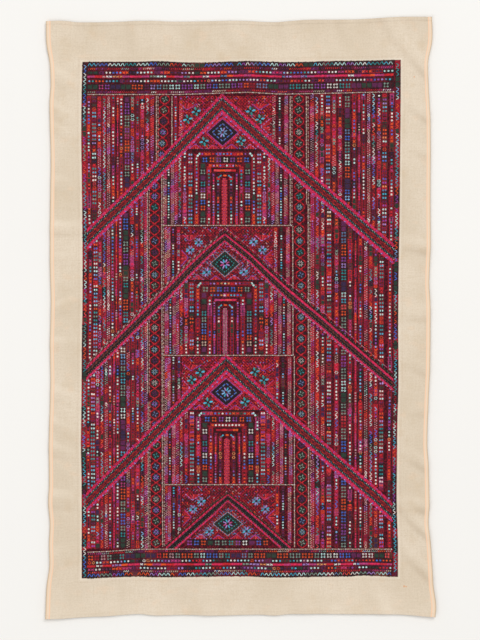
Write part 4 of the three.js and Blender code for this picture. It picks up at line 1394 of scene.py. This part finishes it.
def make_hem_stitches(cloth_material):
    """A row of small running stitches that holds each hem."""
    points, corners, grain = [], [], []
    form = np.array(FORMS["long"]["points"], float)
    faces = np.array(FORMS["long"]["faces"], int)
    pitch = 4.6
    for end in (-1, 1):
        for k in range(int(CLOTH_WIDTH / pitch) - 1):
            x = -CLOTH_WIDTH / 2 + (k + 1) * pitch
            y = end * (CLOTH_LENGTH / 2 - HEM_DEPTH + 0.9)
            px = x + form[:, 0] * 1.3
            py = y + form[:, 1] * 0.35
            above = CLOTH_THICKNESS + HEM_EXTRA - 0.1 + form[:, 2] * 0.35
            corners.append((faces + len(points) * len(form)).ravel())
            points.append(settle(px, py, above))
            grain.append(np.stack([px, py], axis=1) * MM)
    points, corners = np.concatenate(points), np.concatenate(corners)
    grain = np.concatenate(grain)
    piece = new_mesh("hem_stitches", points, corners, np.full(len(corners) // 3, 3),
                     {"Grain": grain, "FoldShade": np.full(grain.shape, 0.5), "OFBake": bake_map(points)})
    piece.data.materials.append(cloth_material)
    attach(piece, "root")
    return piece


def make_panel_ground():
    xs = np.concatenate([[LEFT, LEFT + 0.6], np.linspace(LEFT + 2, RIGHT - 2, 84), [RIGHT - 0.6, RIGHT]])
    ys = np.concatenate([[BOTTOM, BOTTOM + 0.6], np.linspace(BOTTOM + 2, TOP - 2, 136), [TOP - 0.6, TOP]])

    def raise_at(x, y):
        edge = (x < LEFT + 0.3) | (x > RIGHT - 0.3) | (y < BOTTOM + 0.3) | (y > TOP - 0.3)
        return np.where(edge, -0.5, 0.0)

    piece = grid_sheet("panel_ground", xs, ys, PANEL_SEAT, PANEL_THICKNESS, raise_at)
    piece.data.materials.append(ground_cloth())
    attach(piece, "root")
    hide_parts("embroidered_panel")
    return piece


# The embroidery
make_bands()
make_field(LEFT_FIELD)
make_field(RIGHT_FIELD)
make_chain(LEFT_CHAIN)
make_chain(RIGHT_CHAIN)
for row in CORDS:
    cord(row["points"], row["rows"])
for index, storey in enumerate(STOREYS):
    make_storey(index, storey)
for above, below in zip(STOREYS, STOREYS[1:]):
    cord([(below["inner_left"], above["foot"]), (below["inner_right"] + 0.5, above["foot"])], over=True)
for chevron in CHEVRONS:
    make_chevron(chevron)

cream = make_cream_cloth()
hems = make_hem_stitches(cream.data.materials[0])
ground = make_panel_ground()
silks = silk_pieces()


# Floor, light and camera
def make_floor():
    mesh = bpy.data.meshes.new("floor")
    reach = 6.0
    mesh.from_pydata([(-reach, -reach, 0), (reach, -reach, 0), (reach, reach, 0), (-reach, reach, 0)], [],
                     [(0, 1, 2, 3)])
    floor = bpy.data.objects.new("floor", mesh)
    bpy.context.scene.collection.objects.link(floor)
    n = Nodes("pale_floor")
    cloud = n.noise(n.place(), 3.0, 2.0)
    n.link(n.mix(cloud, linear((244, 243, 240)), linear((242, 240, 237))), "Base Color")
    n.set(Roughness=0.95, Specular_IOR_Level=0.1)
    mesh.materials.append(n.material)


def make_light(name, place_at, size, power):
    data = bpy.data.lights.new(name, "AREA")
    data.shape = "RECTANGLE"
    data.size, data.size_y = size
    data.energy = power
    light = bpy.data.objects.new(name, data)
    bpy.context.scene.collection.objects.link(light)
    light.location = place_at
    aim = -light.location
    light.rotation_euler = aim.to_track_quat("-Z", "Y").to_euler()


make_floor()
make_light("key_light", (0.8, 1.5, 4.2), (2.2, 2.2), 87.0)
make_light("fill_light", (-1.4, -1.2, 4.0), (2.6, 2.6), 42.0)
WORLD_STRENGTH = 0.507
world = bpy.data.worlds.new("studio")
bpy.context.scene.world = world
world.use_nodes = True
world.node_tree.nodes["Background"].inputs[0].default_value = (1.0, 0.99, 0.97, 1.0)
world.node_tree.nodes["Background"].inputs[1].default_value = WORLD_STRENGTH
bpy.context.scene.view_settings.view_transform = "Standard"

# The photograph is 480 by 640 pixels, and a pixel is this wide on the cloth
PIXEL = 500 / 380 * MM
FRAME_PIXELS = 640
FRAME_MIDDLE_ROW = 318
LENS, SENSOR = 110.0, 36.0
camera_data = bpy.data.cameras.new("camera")
camera_data.lens, camera_data.sensor_width = LENS, SENSOR
camera = bpy.data.objects.new("camera", camera_data)
bpy.context.scene.collection.objects.link(camera)
distance = FRAME_PIXELS * PIXEL * LENS / SENSOR
camera_y = SHIFT_Y * MM + (FRAME_MIDDLE_ROW - FRAME_PIXELS / 2) * PIXEL
camera.location = (SHIFT_X * MM, camera_y, distance + 3 * MM)
bpy.context.scene.camera = camera
